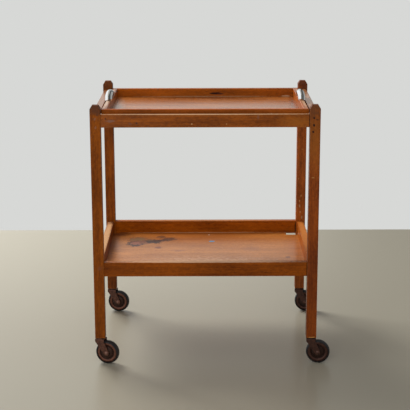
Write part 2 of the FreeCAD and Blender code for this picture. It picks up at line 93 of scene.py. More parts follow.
def add_node(tree: Tree, kind: str, inputs: dict | list | tuple = (), out: int | str = 0,
             **settings: object) -> Socket | None:
    """Adds one shader node with its settings and its inputs.

    Args:
        tree: The node tree that gets it.
        kind: The node's class name after ShaderNode.
        inputs: What each input gets, in order or by name: a socket to link from, a constant or a hex colour.
        out: The output to give back.
        **settings: The node's own properties.

    Returns:
        That output, or None where the node has none.
    """
    node = tree.nodes.new("ShaderNode" + kind)
    for name, value in settings.items():
        setattr(node, name, value)
    for place, value in inputs.items() if isinstance(inputs, dict) else enumerate(inputs):
        if isinstance(value, Socket):
            tree.links.new(value, node.inputs[place])
        else:
            node.inputs[place].default_value = linear(value) if isinstance(value, str) else value
    return node.outputs[out] if node.outputs else None


def painted(tree: Tree, base: Socket | str | tuple, *coats: tuple[Socket, Socket | str]) -> Socket:
    """Lays colours over one another.

    Args:
        tree: The node tree.
        base: The lowest colour.
        *coats: For each colour above it, the share of the surface that it covers, and the colour.

    Returns:
        The whole colour.
    """
    for share, colour in coats:
        # A Mix of colours takes them at inputs 6 and 7 and gives its result at output 2.
        base = add_node(tree, "Mix", {0: share, 6: base, 7: colour}, 2, data_type="RGBA")
    return base


def new_material(name: str) -> tuple[Material, Tree]:
    """Makes an empty node material.

    Args:
        name: The material's name.

    Returns:
        The material and its node tree.
    """
    material = bpy.data.materials.new(name)
    material.use_nodes = True
    material.node_tree.nodes.clear()
    return material, material.node_tree


def surface(tree: Tree, inputs: dict) -> None:
    """Ends a material's tree with a Principled shader that has these inputs."""
    add_node(tree, "OutputMaterial", {"Surface": add_node(tree, "BsdfPrincipled", inputs)})


def new_object(name: str, held: bpy.types.ID) -> Piece:
    """Adds an object to the scene.

    Args:
        name: The object's name.
        held: Its mesh, its camera or its lamp.

    Returns:
        The object.
    """
    made = bpy.data.objects.new(name, held)
    bpy.context.scene.collection.objects.link(made)
    return made


def dress(piece: Piece, material: Material) -> None:
    """Gives a piece one material in place of what it had.

    Args:
        piece: The piece.
        material: What it is made of.
    """
    for held in piece.material_slots:
        held.material = material
    if not piece.material_slots:
        piece.data.materials.append(material)


# ---- Surfaces ----
@dataclass
class Shell:
    """Closed surfaces gathered into one mesh, in millimetres.

    Each surface is a grid of points, rows by columns. A cell of the grid is one four-sided face.
    """

    points: list[np.ndarray] = field(default_factory=list)
    faces: list[list[int]] = field(default_factory=list)

    def add_grid(self, grid: np.ndarray, wrap_rows: bool, wrap_columns: bool, capped: bool = False) -> None:
        """Adds one grid, with its faces turned outwards.

        The signed volume under the faces tells which way they point, and a negative one turns them all round.

        Args:
            grid: Points, as an array of rows by columns by three.
            wrap_rows: Whether the last row joins the first.
            wrap_columns: Whether the last column joins the first.
            capped: Whether the first and the last row are closed with a fan to their middle.
        """
        rows, columns, _ = grid.shape
        numbers = np.arange(rows * columns).reshape(rows, columns)
        below = np.roll(numbers, -1, 0) if wrap_rows else numbers[1:]
        here = numbers if wrap_rows else numbers[:-1]
        if wrap_columns:
            corners = (here, np.roll(here, -1, 1), np.roll(below, -1, 1), below)
        else:
            corners = (here[:, :-1], here[:, 1:], below[:, 1:], below[:, :-1])
        quads = np.stack([c.ravel() for c in corners], 1)
        cloud, fans = grid.reshape(-1, 3), np.zeros((0, 3), int)
        if capped:
            top, end, first = numbers[0], numbers[-1], np.full(columns, len(cloud))
            cloud = np.concatenate([cloud, [grid[0].mean(0), grid[-1].mean(0)]])
            fans = np.concatenate([np.stack([np.roll(top, -1), top, first], 1),
                                   np.stack([end, np.roll(end, -1), first + 1], 1)])
        triangles = np.concatenate([quads[:, :3], quads[:, [0, 2, 3]], fans])
        a, b, c = (cloud[triangles[:, i]] for i in range(3))
        if np.einsum("ij,ij->i", a, np.cross(b, c)).sum() < 0:
            quads, fans = quads[:, ::-1], fans[:, ::-1]
        start = sum(len(p) for p in self.points)
        self.points.append(cloud)
        self.faces += (quads + start).tolist() + (fans + start).tolist()

    def add_turned(self, profile: np.ndarray, segments: int, closed: bool, upright: bool = False,
                   shift: Triple = (0, 0, 0)) -> None:
        """Adds a profile turned about an axis: (r, h) becomes (r cos a, h, r sin a), with a round the circle.

        Args:
            profile: Radius and height along the axis, n by two. An open one starts and ends near the axis.
            segments: Steps round the circle.
            closed: Whether the profile is a loop, as on a ring with a bore.
            upright: Whether the axis is Z in place of Y.
            shift: Where the axis and the profile's zero stand.
        """
        angles = np.linspace(0, 2 * math.pi, segments, endpoint=False)
        radius, height = profile[:, :1], profile[:, 1:]
        parts = [radius * np.cos(angles), height + 0 * angles, radius * np.sin(angles)]
        grid = np.stack([parts[0], parts[2], parts[1]] if upright else parts, 2)
        self.add_grid(grid + shift, closed, True, capped=not closed)

    def make(self, name: str, place: Matrix) -> Piece:
        """Puts the gathered surfaces into one smooth object at the origin.

        Args:
            name: The piece's name.
            place: Where the piece stands, in metres, applied to the mesh.

        Returns:
            The new object.
        """
        mesh = bpy.data.meshes.new(name)
        mesh.from_pydata((np.concatenate(self.points) * MM).tolist(), [], self.faces)
        mesh.transform(place)
        mesh.shade_smooth()
        mesh.update()
        return new_object(name, mesh)


def arc_points(centre: Pair, radius: float, start: float, end: float, count: int) -> np.ndarray:
    """Points along an arc: centre plus radius times (cos a, sin a), with a evenly spaced in degrees.

    Args:
        centre: The arc's centre.
        radius: Its radius.
        start: First angle in degrees.
        end: Last angle in degrees.
        count: How many points.

    Returns:
        An array of count by two.
    """
    angles = np.radians(np.linspace(start, end, count))
    return np.stack([centre[0] + radius * np.cos(angles), centre[1] + radius * np.sin(angles)], 1)


def with_mirror(half: np.ndarray, signs: Pair, between: np.ndarray | None = None) -> np.ndarray:
    """A line that goes back along its own mirror image.

    Args:
        half: Points of its first half, n by two.
        signs: What a point is multiplied by to give its mirror image.
        between: Points that stand between the two halves.

    Returns:
        The whole line.
    """
    middle = np.zeros((0, 2)) if between is None else between
    return np.concatenate([half, middle, (half * signs)[::-1]])


def softened(corners: np.ndarray, radii: list[float], steps: int = 4) -> np.ndarray:
    """Rounds the corners of a closed outline.

    Each corner P is replaced by points of the curve (1-t)^2 A + 2t(1-t) P + t^2 B, where A and B lie on the
    two sides at the corner's radius from P, or at 45% of the side where that is shorter.

    Args:
        corners: Points in order, n by two.
        radii: How far from each corner its rounding starts; zero keeps it sharp.
        steps: Points on each rounded corner, less one.

    Returns:
        The rounded outline.
    """
    parts, t = [], np.linspace(0, 1, steps + 1)[:, None]
    for a, p, b, radius in zip(np.roll(corners, 1, 0), corners, np.roll(corners, -1, 0), radii):
        if radius == 0:
            parts.append(p[None])
            continue
        start, end = (p + side * min(0.45, radius / np.linalg.norm(side)) for side in (a - p, b - p))
        parts.append((1 - t) ** 2 * start + 2 * t * (1 - t) * p + t ** 2 * end)
    return np.concatenate(parts)


# ---- Finishes ----
class Grain(Enum):
    """Which way the fibres of a board run. The value is the turn, in degrees, that lays them along X."""

    ALONG_X = (0, 0, 0)
    ALONG_Y = (0, 0, -90)
    ALONG_Z = (0, 90, 0)

    def turn(self) -> Euler:
        """The turn in radians."""
        return Euler([math.radians(angle) for angle in self.value])


@dataclass(frozen=True)
class Mark:
    """A stain, dent, worn spot, painted highlight or painted shade: an ellipsoid that the board's surface
    passes through.
    """

    centre: Triple      # mm from the wood's own corner for marks
    reach: Triple       # mm
    colour: str
    strength: float
    ragged: float       # how far noise moves the edge, as a share of the mark's size
    soft: float         # width of the fading edge, as a share of the mark's size
    dent: float = 0.0   # how far the surface is pressed in, as a share of the bump's depth


@dataclass(frozen=True)
class Layer:
    """One layer of a board's figure: a noise drawn out along the fibres."""

    length: float       # mm, along the fibres
    width: float        # mm, across them
    detail: float
    roughness: float
    share: float = 0.0  # how much of it goes into the tone of the wood

    def noise(self, tree: Tree, board: Socket) -> Socket:
        """Makes the layer.

        Args:
            tree: The material's node tree.
            board: Board coordinates in metres, fibres along X.

        Returns:
            The noise, about 0.5 on average.
        """
        along, across = 1 / (self.length * MM), 1 / (self.width * MM)
        drawn_out = add_node(tree, "Mapping", {"Vector": board, "Scale": (along, across, across)})
        return add_node(tree, "TexNoise", {
            "Vector": drawn_out, "Scale": 1.0, "Detail": self.detail, "Roughness": self.roughness,
        })


@dataclass(frozen=True)
class VarnishedWood:
    """Stained hardwood, planed, rubbed down and given satin varnish.

    The stain gathers in the late wood and in the pores, so both read darker. The varnish is a clear coat over
    it that reflects the room at low angles. Hands and knocks take both off along the arrises.
    """

    name: str
    grain: Grain
    early: str = "#a3550e"            # stained early wood
    late: str = "#5e2a03"             # stained late wood, darker
    pore: str = "#2e1306"             # stain lying in the pores
    bare: str = "#b57a40"             # wood with the stain rubbed off
    ring_width: float = 4.5           # mm between growth rings where the saw met them
    ring_share: float = 0.2           # how much of the rings goes into the tone
    pith: Pair = (35.0, 90.0)         # mm from the board's middle to the tree's centre, across the fibres
    lean: Pair = (0.02, 0.03)         # radians that a tree leans by at most, about the board's Y and Z
    taper: float = 0.12               # how far the rings change along the board
    fibres: Layer = Layer(80.0, 1.4, 4.0, 0.6, 0.7)         # wider than real fibres, so that they show
    streaks: Layer = Layer(190.0, 6.0, 3.0, 0.55, 0.6)      # bands of darker and lighter fibres
    clouds: Layer = Layer(152.0, 38.0, 3.0, 0.5, 1.3)       # broad drift of the stain
    figure: Layer = Layer(13.0, 5.0, 4.0, 0.6, 0.9)         # short flecks where the fibres rise and dip
    scuffs: Layer = Layer(9.0, 5.0, 5.0, 0.65)              # unevenness of the varnish and of the wear
    pores: Layer = Layer(6.0, 0.5, 1.0, 0.4)
    pore_edge: Pair = (0.62, 0.72)    # noise at which a pore begins and at which it is fully open
    pore_stain: float = 0.75
    pore_depth: float = 0.7           # as a share of the fibres' relief
    contrast: float = 1.0             # of all that goes into the tone
    drift: Triple = (0.731, 0.317, 0.503)                   # metres that a seed of one moves the pattern by
    arris_width: float = 1.6          # mm, how far in from an arris the wear reaches
    arris_ragged: float = 2.4         # how far noise moves the edge of the wear, as a share of its width
    arris_wear: float = 0.4
    roughness: float = 0.5
    sheen_level: float = 0.15         # gloss of the wood under its varnish
    coat: float = 1.0                 # share of the surface that still has its varnish
    coat_roughness: float = 0.2
    ior: float = 1.5                  # of the wood and of its varnish alike
    relief: float = 0.25              # mm
    tip: float = 0.0                  # degrees that the board is turned about X from square
    marks: tuple[Mark, ...] = ()
    marks_from: Triple = (0.0, 0.0, 0.0)                    # metres
    wander: float = 9.09              # mm, size of the bends in a mark's ragged edge

    def arris(self, tree: Tree, place: Socket, low: Vector, high: Vector, uneven: Socket) -> Socket:
        """How much a point belongs to an arris of the board's box, from 0 to 1.

        A point's distances to the three pairs of faces are worked out. On a face the least is zero, and the
        middle one is the distance to the nearest arris.

        Args:
            tree: The material's node tree.
            place: Object coordinates.
            low: The board's lowest corner.
            high: Its highest corner.
            uneven: Noise that makes the worn band uneven.

        Returns:
            The share of wear.
        """
        off = add_node(tree, "VectorMath", [place, (low + high) / 2], operation="SUBTRACT")
        size = add_node(tree, "VectorMath", [off], operation="ABSOLUTE")
        left = add_node(tree, "VectorMath", [(high - low) / 2, size], operation="SUBTRACT")
        x, y, z = add_node(tree, "SeparateXYZ", [left]).node.outputs
        least = add_node(tree, "Math", [x, y], operation="MINIMUM")
        most = add_node(tree, "Math", [x, y], operation="MAXIMUM")
        inner = add_node(tree, "Math", [most, z], operation="MINIMUM")
        distance = add_node(tree, "Math", [least, inner], operation="MAXIMUM")
        width = self.arris_width * MM
        edge = add_node(tree, "Math", [uneven, width * self.arris_ragged, distance], operation="MULTIPLY_ADD")
        return add_node(tree, "MapRange", [edge, width, 2 * width, 1.0, 0.0], **SMOOTH)

    def mark(self, tree: Tree, place: Socket, wander: Socket, mark: Mark) -> Socket:
        """How much a point belongs to a mark: its distance from the centre in units of the reach, eased.

        Args:
            tree: The material's node tree.
            place: Object coordinates.
            wander: A colour noise that makes the edge ragged.
            mark: The mark.

        Returns:
            The share of the mark's colour.
        """
        scale = [1 / (r * MM) for r in mark.reach]
        start = [-(c * MM + corner) * s for c, corner, s in zip(mark.centre, self.marks_from, scale)]
        near = add_node(tree, "Mapping", {"Vector": place, "Location": start, "Scale": scale})
        moved = add_node(tree, "VectorMath", [wander, (2 * mark.ragged,) * 3, near], operation="MULTIPLY_ADD")
        centred = add_node(tree, "VectorMath", [moved, (-mark.ragged,) * 3])
        away = add_node(tree, "VectorMath", [centred], "Value", operation="LENGTH")
        return add_node(tree, "MapRange", [away, 1 - mark.soft, 1.0, mark.strength, 0.0], **SMOOTH)

    def material(self, low: Vector, high: Vector, seed: float) -> Material:
        """Makes the wood of one board.

        Its tone is 0.5 plus the share of each layer times how far that layer is from its average of 0.5.

        Args:
            low: The board's lowest corner, in metres.
            high: Its highest corner.
            seed: Moves the pattern, so that no two boards are alike.

        Returns:
            The material.
        """
        made, tree = new_material(self.name)
        spot = add_node(tree, "TexCoord", out="Object")
        place = add_node(tree, "Mapping", {"Vector": spot, "Rotation": (math.radians(self.tip), 0, 0)})
        turn = self.grain.turn()
        middle = turn.to_matrix() @ ((low + high) / 2)
        shift, pith = Vector(self.drift) * seed - middle, Vector((0, *self.pith)) * MM - middle
        board, log = (add_node(tree, "Mapping", {"Vector": place, "Rotation": turn, "Location": start})
                      for start in (shift, pith))
        lean = (0, self.lean[0] * math.sin(seed), self.lean[1] * math.cos(2 * seed))
        leaning = add_node(tree, "Mapping", {"Vector": log, "Rotation": lean, "Scale": (self.taper, 1, 1)})
        rings = add_node(tree, "TexWave", {
            "Vector": leaning, "Scale": WAVE_PERIOD / (self.ring_width * MM), "Distortion": 2.2,
            "Detail": 2.0, "Detail Scale": 0.35, "Detail Roughness": 0.5, "Phase Offset": seed,
        }, "Fac", wave_type="RINGS", rings_direction="X", wave_profile="SAW")
        layers = {layer: layer.noise(tree, board) for layer in (
            self.fibres, self.streaks, self.clouds, self.figure, self.scuffs, self.pores)}

        tone, rest = 0.0, 0.5
        parts = [(self.ring_share, rings), *((layer.share, noise) for layer, noise in layers.items())]
        for share, part in parts:
            if share:
                tone = add_node(tree, "Math", [part, share * self.contrast, tone], operation="MULTIPLY_ADD")
                rest -= share * self.contrast / 2
        tone = add_node(tree, "Math", [tone, rest], operation="ADD", use_clamp=True)
        open_pores = add_node(tree, "MapRange", [layers[self.pores], *self.pore_edge, 0.0, self.pore_stain])
        worn = self.arris(tree, place, low, high, layers[self.scuffs])
        rubbed = add_node(tree, "Math", [worn, self.arris_wear], operation="MULTIPLY")
        coats = [(tone, self.early), (open_pores, self.pore), (rubbed, self.bare)]
        sunk = [open_pores, -self.pore_depth, layers[self.fibres]]
        height = add_node(tree, "Math", sunk, operation="MULTIPLY_ADD")
        if self.marks:
            bends = {"Vector": spot, "Scale": 1 / (self.wander * MM), "Detail": 3.0}
            wander = add_node(tree, "TexNoise", bends, "Color")
        # Marks lay stains, dents and wear, and also painted light and shade.
        for mark in self.marks:
            share = self.mark(tree, spot, wander, mark)
            coats.append((share, mark.colour))
            if mark.dent:
                height = add_node(tree, "Math", [share, -mark.dent, height], operation="MULTIPLY_ADD")

        scuffed = [layers[self.scuffs], 0.35, 0.7, self.roughness - 0.05, self.roughness + 0.1]
        dull = add_node(tree, "MapRange", scuffed)
        dull = add_node(tree, "Math", [worn, 0.12, dull], operation="MULTIPLY_ADD")
        relief = add_node(tree, "Bump", {"Height": height, "Strength": 0.35, "Distance": self.relief * MM})
        surface(tree, {
            "Base Color": painted(tree, self.late, *coats), "Roughness": dull, "Normal": relief,
            "IOR": self.ior, "Specular IOR Level": self.sheen_level, "Coat Weight": self.coat,
            "Coat Roughness": self.coat_roughness, "Coat IOR": self.ior,
        })
        return made


@dataclass(frozen=True)
class ChromePlate:
    """Decorative chromium over nickel: a cool mirror, rubbed by hands to the greyer nickel on its crown.

    A dark band beside the crown's middle is rubbed nickel and a painted reflection.
    """

    name: str = "worn chrome plate with painted reflection"
    colour: str = "#f0f2f3"
    # Bands along the crown: from and to, in mm to the right of the crown's middle line, and the colour there.
    # The first is rubbed nickel; the second, dark grey, is rubbed nickel and a painted reflection.
    bands: tuple[tuple[float, float, str], ...] = ((-2.4, 1.8, "#aaa498"), (1.8, 5.4, "#73767a"))
    fade: float = 0.8                 # mm to each side of a band's edge over which it fades
    cloud: float = 7.0                # mm, size of the smears

    def material(self, crown_x: float) -> Material:
        """Makes the plating.

        Args:
            crown_x: Where the crown's middle line runs, in metres.

        Returns:
            The material.
        """
        made, tree = new_material(self.name)
        place = add_node(tree, "TexCoord", out="Object")
        x, coats = add_node(tree, "SeparateXYZ", [place]), []
        for start, end, nickel in self.bands:
            inside = []
            for edge, fade in ((start, self.fade), (end, -self.fade)):
                fading = [x, crown_x + (edge - fade) * MM, crown_x + (edge + fade) * MM]
                inside.append(add_node(tree, "MapRange", fading, **SMOOTH))
            coats.append((add_node(tree, "Math", inside, operation="MULTIPLY"), nickel))
        smears = add_node(tree, "TexNoise", {"Vector": place, "Scale": 1 / (self.cloud * MM), "Detail": 4.0})
        gloss = add_node(tree, "MapRange", [smears, 0.35, 0.75, 0.07, 0.2])
        surface(tree, {"Base Color": painted(tree, self.colour, *coats), "Metallic": 1.0, "Roughness": gloss})
        return made


@dataclass(frozen=True)
class BronzedSteel:
    """Pressed steel with a baked brown bronze lacquer, rubbed to copper on its high spots.

    On a wheel disc a copper ring is a painted highlight, and the dished middle is darkened as painted shade.
    """

    name: str = "bronzed pressed steel"
    lacquer: str = "#674234"
    dark: str = "#412922"
    # Copper of the rubbed specks; on a wheel disc the same colour also lays the painted highlight ring.
    copper_and_highlight: str = "#b9755a"
    cloud: float = 6.0                # mm, size of the lacquer's patches
    speck: float = 1.1                # mm, size of the rubbed specks
    # Painted shade laid in the dished middle of a wheel disc.
    dish_shade: str = "#2b1a14"
    ring_radius: float = 23.8         # mm, middle of the painted highlight ring of a wheel disc
    ring_width: float = 3.4           # mm
    # Strength of the painted highlight ring.
    ring_highlight: float = 0.22
    dish_radius: float = 19.6         # mm, edge of the dished middle, which is darkened as painted shade

    def on_disc(self, tree: Tree, place: Socket, centre: Vector, axle: Vector) -> tuple[Socket, Socket]:
        """The painted shade of the dished middle and the painted highlight ring of a wheel disc.

        Both go by the distance from the axle, which is the length of the cross product of a point's place and
        the axle's direction.

        Args:
            tree: The material's node tree.
            place: Object coordinates.
            centre: The wheel's middle, in metres.
            axle: The direction of its axle.

        Returns:
            The share of painted shade and the share of painted highlight.
        """
        off = add_node(tree, "VectorMath", [place, centre], operation="SUBTRACT")
        arm = add_node(tree, "VectorMath", [off, axle], operation="CROSS_PRODUCT")
        radius = add_node(tree, "VectorMath", [arm], "Value", operation="LENGTH")
        dish, half = self.dish_radius * MM, self.ring_width * MM / 2
        shaded = add_node(tree, "MapRange", [radius, dish - MM, dish + MM, 0.85, 0.0], **SMOOTH)
        off_ring = add_node(tree, "Math", [radius, self.ring_radius * MM], operation="SUBTRACT")
        away = add_node(tree, "Math", [off_ring], operation="ABSOLUTE")
        ring = add_node(tree, "MapRange", [away, 0.3 * half, 1.3 * half, self.ring_highlight, 0.0], **SMOOTH)
        return shaded, ring

    def material(self, wheel: tuple[Vector, Vector] | None = None) -> Material:
        """Makes the lacquered steel.

        Args:
            wheel: The middle and the axle's direction of a wheel disc, with its painted highlight ring and
                painted shade.

        Returns:
            The material.
        """
        made, tree = new_material(self.name)
        place = add_node(tree, "TexCoord", out="Object")
        patches, specks = (add_node(tree, "TexNoise", {
            "Vector": place, "Scale": 1 / (size * MM), "Detail": detail, "Roughness": roughness,
        }) for size, detail, roughness in ((self.cloud, 5.0, 0.6), (self.speck, 3.0, 0.7)))
        coats = [(add_node(tree, "MapRange", [patches, 0.35, 0.65]), self.lacquer)]
        rubbed = add_node(tree, "MapRange", [specks, 0.6, 0.72, 0.0, 0.55])
        if wheel:
            # A wheel disc gets painted shade in its dished middle and a painted highlight ring.
            shaded, ring = self.on_disc(tree, place, *wheel)
            coats.append((shaded, self.dish_shade))
            rubbed = add_node(tree, "Math", [ring, rubbed], operation="MAXIMUM")
        coats.append((rubbed, self.copper_and_highlight))
        gloss = add_node(tree, "MapRange", [patches, 0.3, 0.7, 0.3, 0.46])
        relief = add_node(tree, "Bump", {"Height": specks, "Strength": 0.15, "Distance": 0.1 * MM})
        surface(tree, {"Base Color": painted(tree, self.dark, *coats), "Metallic": 0.55, "Roughness": gloss,
                       "Normal": relief})
        return made


@dataclass(frozen=True)
class TyreRubber:
    """Moulded black rubber, smooth from the mould, with floor dust rubbed into it."""

    name: str = "moulded black rubber"
    colour: str = "#202022"
    dust: str = "#3c3937"
    cloud: float = 4.0                # mm, size of the dusty patches

    def material(self) -> Material:
        """Makes the rubber.

        Returns:
            The material.
        """
        made, tree = new_material(self.name)
        patches = add_node(tree, "TexNoise", {
            "Vector": add_node(tree, "TexCoord", out="Object"), "Scale": 1 / (self.cloud * MM), "Detail": 6.0,
            "Roughness": 0.7,
        })
        dusty = add_node(tree, "MapRange", [patches, 0.5, 0.8, 0.0, 0.5])
        gloss = add_node(tree, "MapRange", [patches, 0.3, 0.7, 0.42, 0.62])
        relief = add_node(tree, "Bump", {"Height": patches, "Strength": 0.2, "Distance": 0.15 * MM})
        surface(tree, {"Base Color": painted(tree, self.colour, (dusty, self.dust)), "Roughness": gloss,
                       "Normal": relief, "Specular IOR Level": 0.3})
        return made


@dataclass(frozen=True)
class PlainSteel:
    """Drawn steel of pins and screws, dulled with age."""

    name: str = "dulled drawn steel"
    bright: str = "#a9a7a2"
    dull: str = "#6f6a62"
    cloud: float = 2.0                # mm, size of the dull patches

    def material(self) -> Material:
        """Makes the steel.

        Returns:
            The material.
        """
        made, tree = new_material(self.name)
        place = add_node(tree, "TexCoord", out="Object")
        patches = add_node(tree, "TexNoise", {"Vector": place, "Scale": 1 / (self.cloud * MM), "Detail": 4.0})
        gloss = add_node(tree, "MapRange", {0: patches, 3: 0.28, 4: 0.5})
        colour = painted(tree, self.bright, (patches, self.dull))
        surface(tree, {"Base Color": colour, "Metallic": 1.0, "Roughness": gloss})
        return made


# ---- The studio ----
@dataclass
class Studio:
    """Camera, floor, lamps and the pale room."""

    # The eye, in millimetres from the front left post's foot: its left face, its front face and its foot.
    eye: Triple = (308.527, -3179.579, 1175.807)
    lens: float = 107.251
    sensor: float = 36.0
    pitch: float = 0.24575            # radians below the horizon
    yaw: float = 0.00144
    roll: float = -0.00275
    floor_half: float = 1180.0        # from the middle of the floor to each of its edges
    floor_colour: str = "#a49e8d"
    room_colour: str = "#d7d8d6"
    dim_room: str = "#3c3e42"         # the unlit part of the room, behind the camera
    daylight: float = 0.36            # share of the light that comes evenly from the room
    # Upright bands of the mirrored room: x of the direction where each begins and where it is full, and its
    # colour.
    bands: tuple[tuple[float, float, str], ...] = (
        (-0.11, -0.17, "#fbfcfc"), (0.06, 0.12, "#33373b"), (0.18, 0.22, "#a2a29e"),
    )
    # Each lamp: its name, its place, what it faces and its side, in millimetres, and its power in watts.
    lamps: tuple[tuple[str, Triple, Triple, float, float], ...] = (
        ("window", (-1500, 1700, 2200), (0, 500, 0), 1400, 90.0),
        ("front softbox", (-300, -2600, 1300), (0, 0, 400), 1800, 28.0),
    )

    def camera(self) -> None:
        """Sets the camera: rolled about its axis, tilted up from straight down and turned to its heading."""
        held = bpy.data.cameras.new("camera")
        held.lens, held.sensor_width, held.sensor_fit = self.lens, self.sensor, "HORIZONTAL"
        camera = new_object("camera", held)
        turn = Euler((math.pi / 2 - self.pitch, 0, self.yaw)).to_matrix() @ Matrix.Rotation(self.roll, 3, "Z")
        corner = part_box("post_front_left")[0]
        camera.matrix_world = Matrix.Translation(corner + Vector(self.eye) * MM) @ turn.to_4x4()
        bpy.context.scene.camera = camera

    def floor(self) -> None:
        """A plain polished floor, square, so that its far edge meets the room in a straight line."""
        half = self.floor_half * MM
        mesh = bpy.data.meshes.new("floor")
        mesh.from_pydata([(-half, -half, 0), (half, -half, 0), (half, half, 0), (-half, half, 0)], [],
                         [(0, 1, 2, 3)])
        made, tree = new_material("polished pale concrete")
        surface(tree, {"Base Color": self.floor_colour, "Roughness": 0.32, "IOR": 1.45})
        mesh.materials.append(made)
        floor = new_object("floor", mesh)

    def room(self) -> None:
        """The room: even light for the surfaces, and its own colours where it is seen or mirrored.

        Gloss mirrors the pale wall behind, between a bright window on the left and a dark doorway on the
        right. In front and above it mirrors the dim room, with the same window and doorway. The share of pale
        is y - 0.45 x of the direction, eased from -0.4 to 0.2.
        """
        world = bpy.data.worlds.new("room")
        world.use_nodes = True
        bpy.context.scene.world = world
        tree = world.node_tree
        tree.nodes.clear()
        path = add_node(tree, "LightPath").node.outputs
        way = add_node(tree, "TexCoord", out="Generated")
        behind = add_node(tree, "VectorMath", [way, (-0.45, 1.0, 0.0)], "Value", operation="DOT_PRODUCT")
        sideways = add_node(tree, "SeparateXYZ", [way])
        coats = [(add_node(tree, "MapRange", [behind, -0.4, 0.2], **SMOOTH), self.room_colour)]
        for start, end, colour in self.bands:
            coats.append((add_node(tree, "MapRange", [sideways, start, end], **SMOOTH), colour))
        rays = [path["Is Glossy Ray"], path["Is Transmission Ray"]]
        mirroring = add_node(tree, "Math", rays, operation="MAXIMUM")
        mirrored = painted(tree, self.dim_room, *coats)
        light = painted(tree, (*(self.daylight,) * 3, 1.0), (mirroring, mirrored),
                        (path["Is Camera Ray"], self.room_colour))
        add_node(tree, "OutputWorld", {"Surface": add_node(tree, "Background", {"Color": light})})

    def lamp(self, name: str, place: Triple, aim: Triple, side: float, power: float) -> None:
        """One square soft lamp, which gloss doesn't show.

        Args:
            name: The lamp's name.
            place: Where it hangs, in millimetres.
            aim: What it faces.
            side: The length of its side.
            power: Its power in watts.
        """
        held = bpy.data.lights.new(name, "AREA")
        held.shape, held.size, held.energy = "SQUARE", side * MM, power
        lamp = new_object(name, held)
        lamp.visible_glossy = False
        start = Vector(place) * MM
        facing = (Vector(aim) * MM - start).to_track_quat("-Z", "Y")
        lamp.matrix_world = Matrix.Translation(start) @ facing.to_matrix().to_4x4()

    def build(self) -> None:
        """Sets the whole studio."""
        bpy.context.scene.view_settings.view_transform = "Standard"
        self.camera()
        self.floor()
        self.room()
        for lamp in self.lamps:
            self.lamp(*lamp)
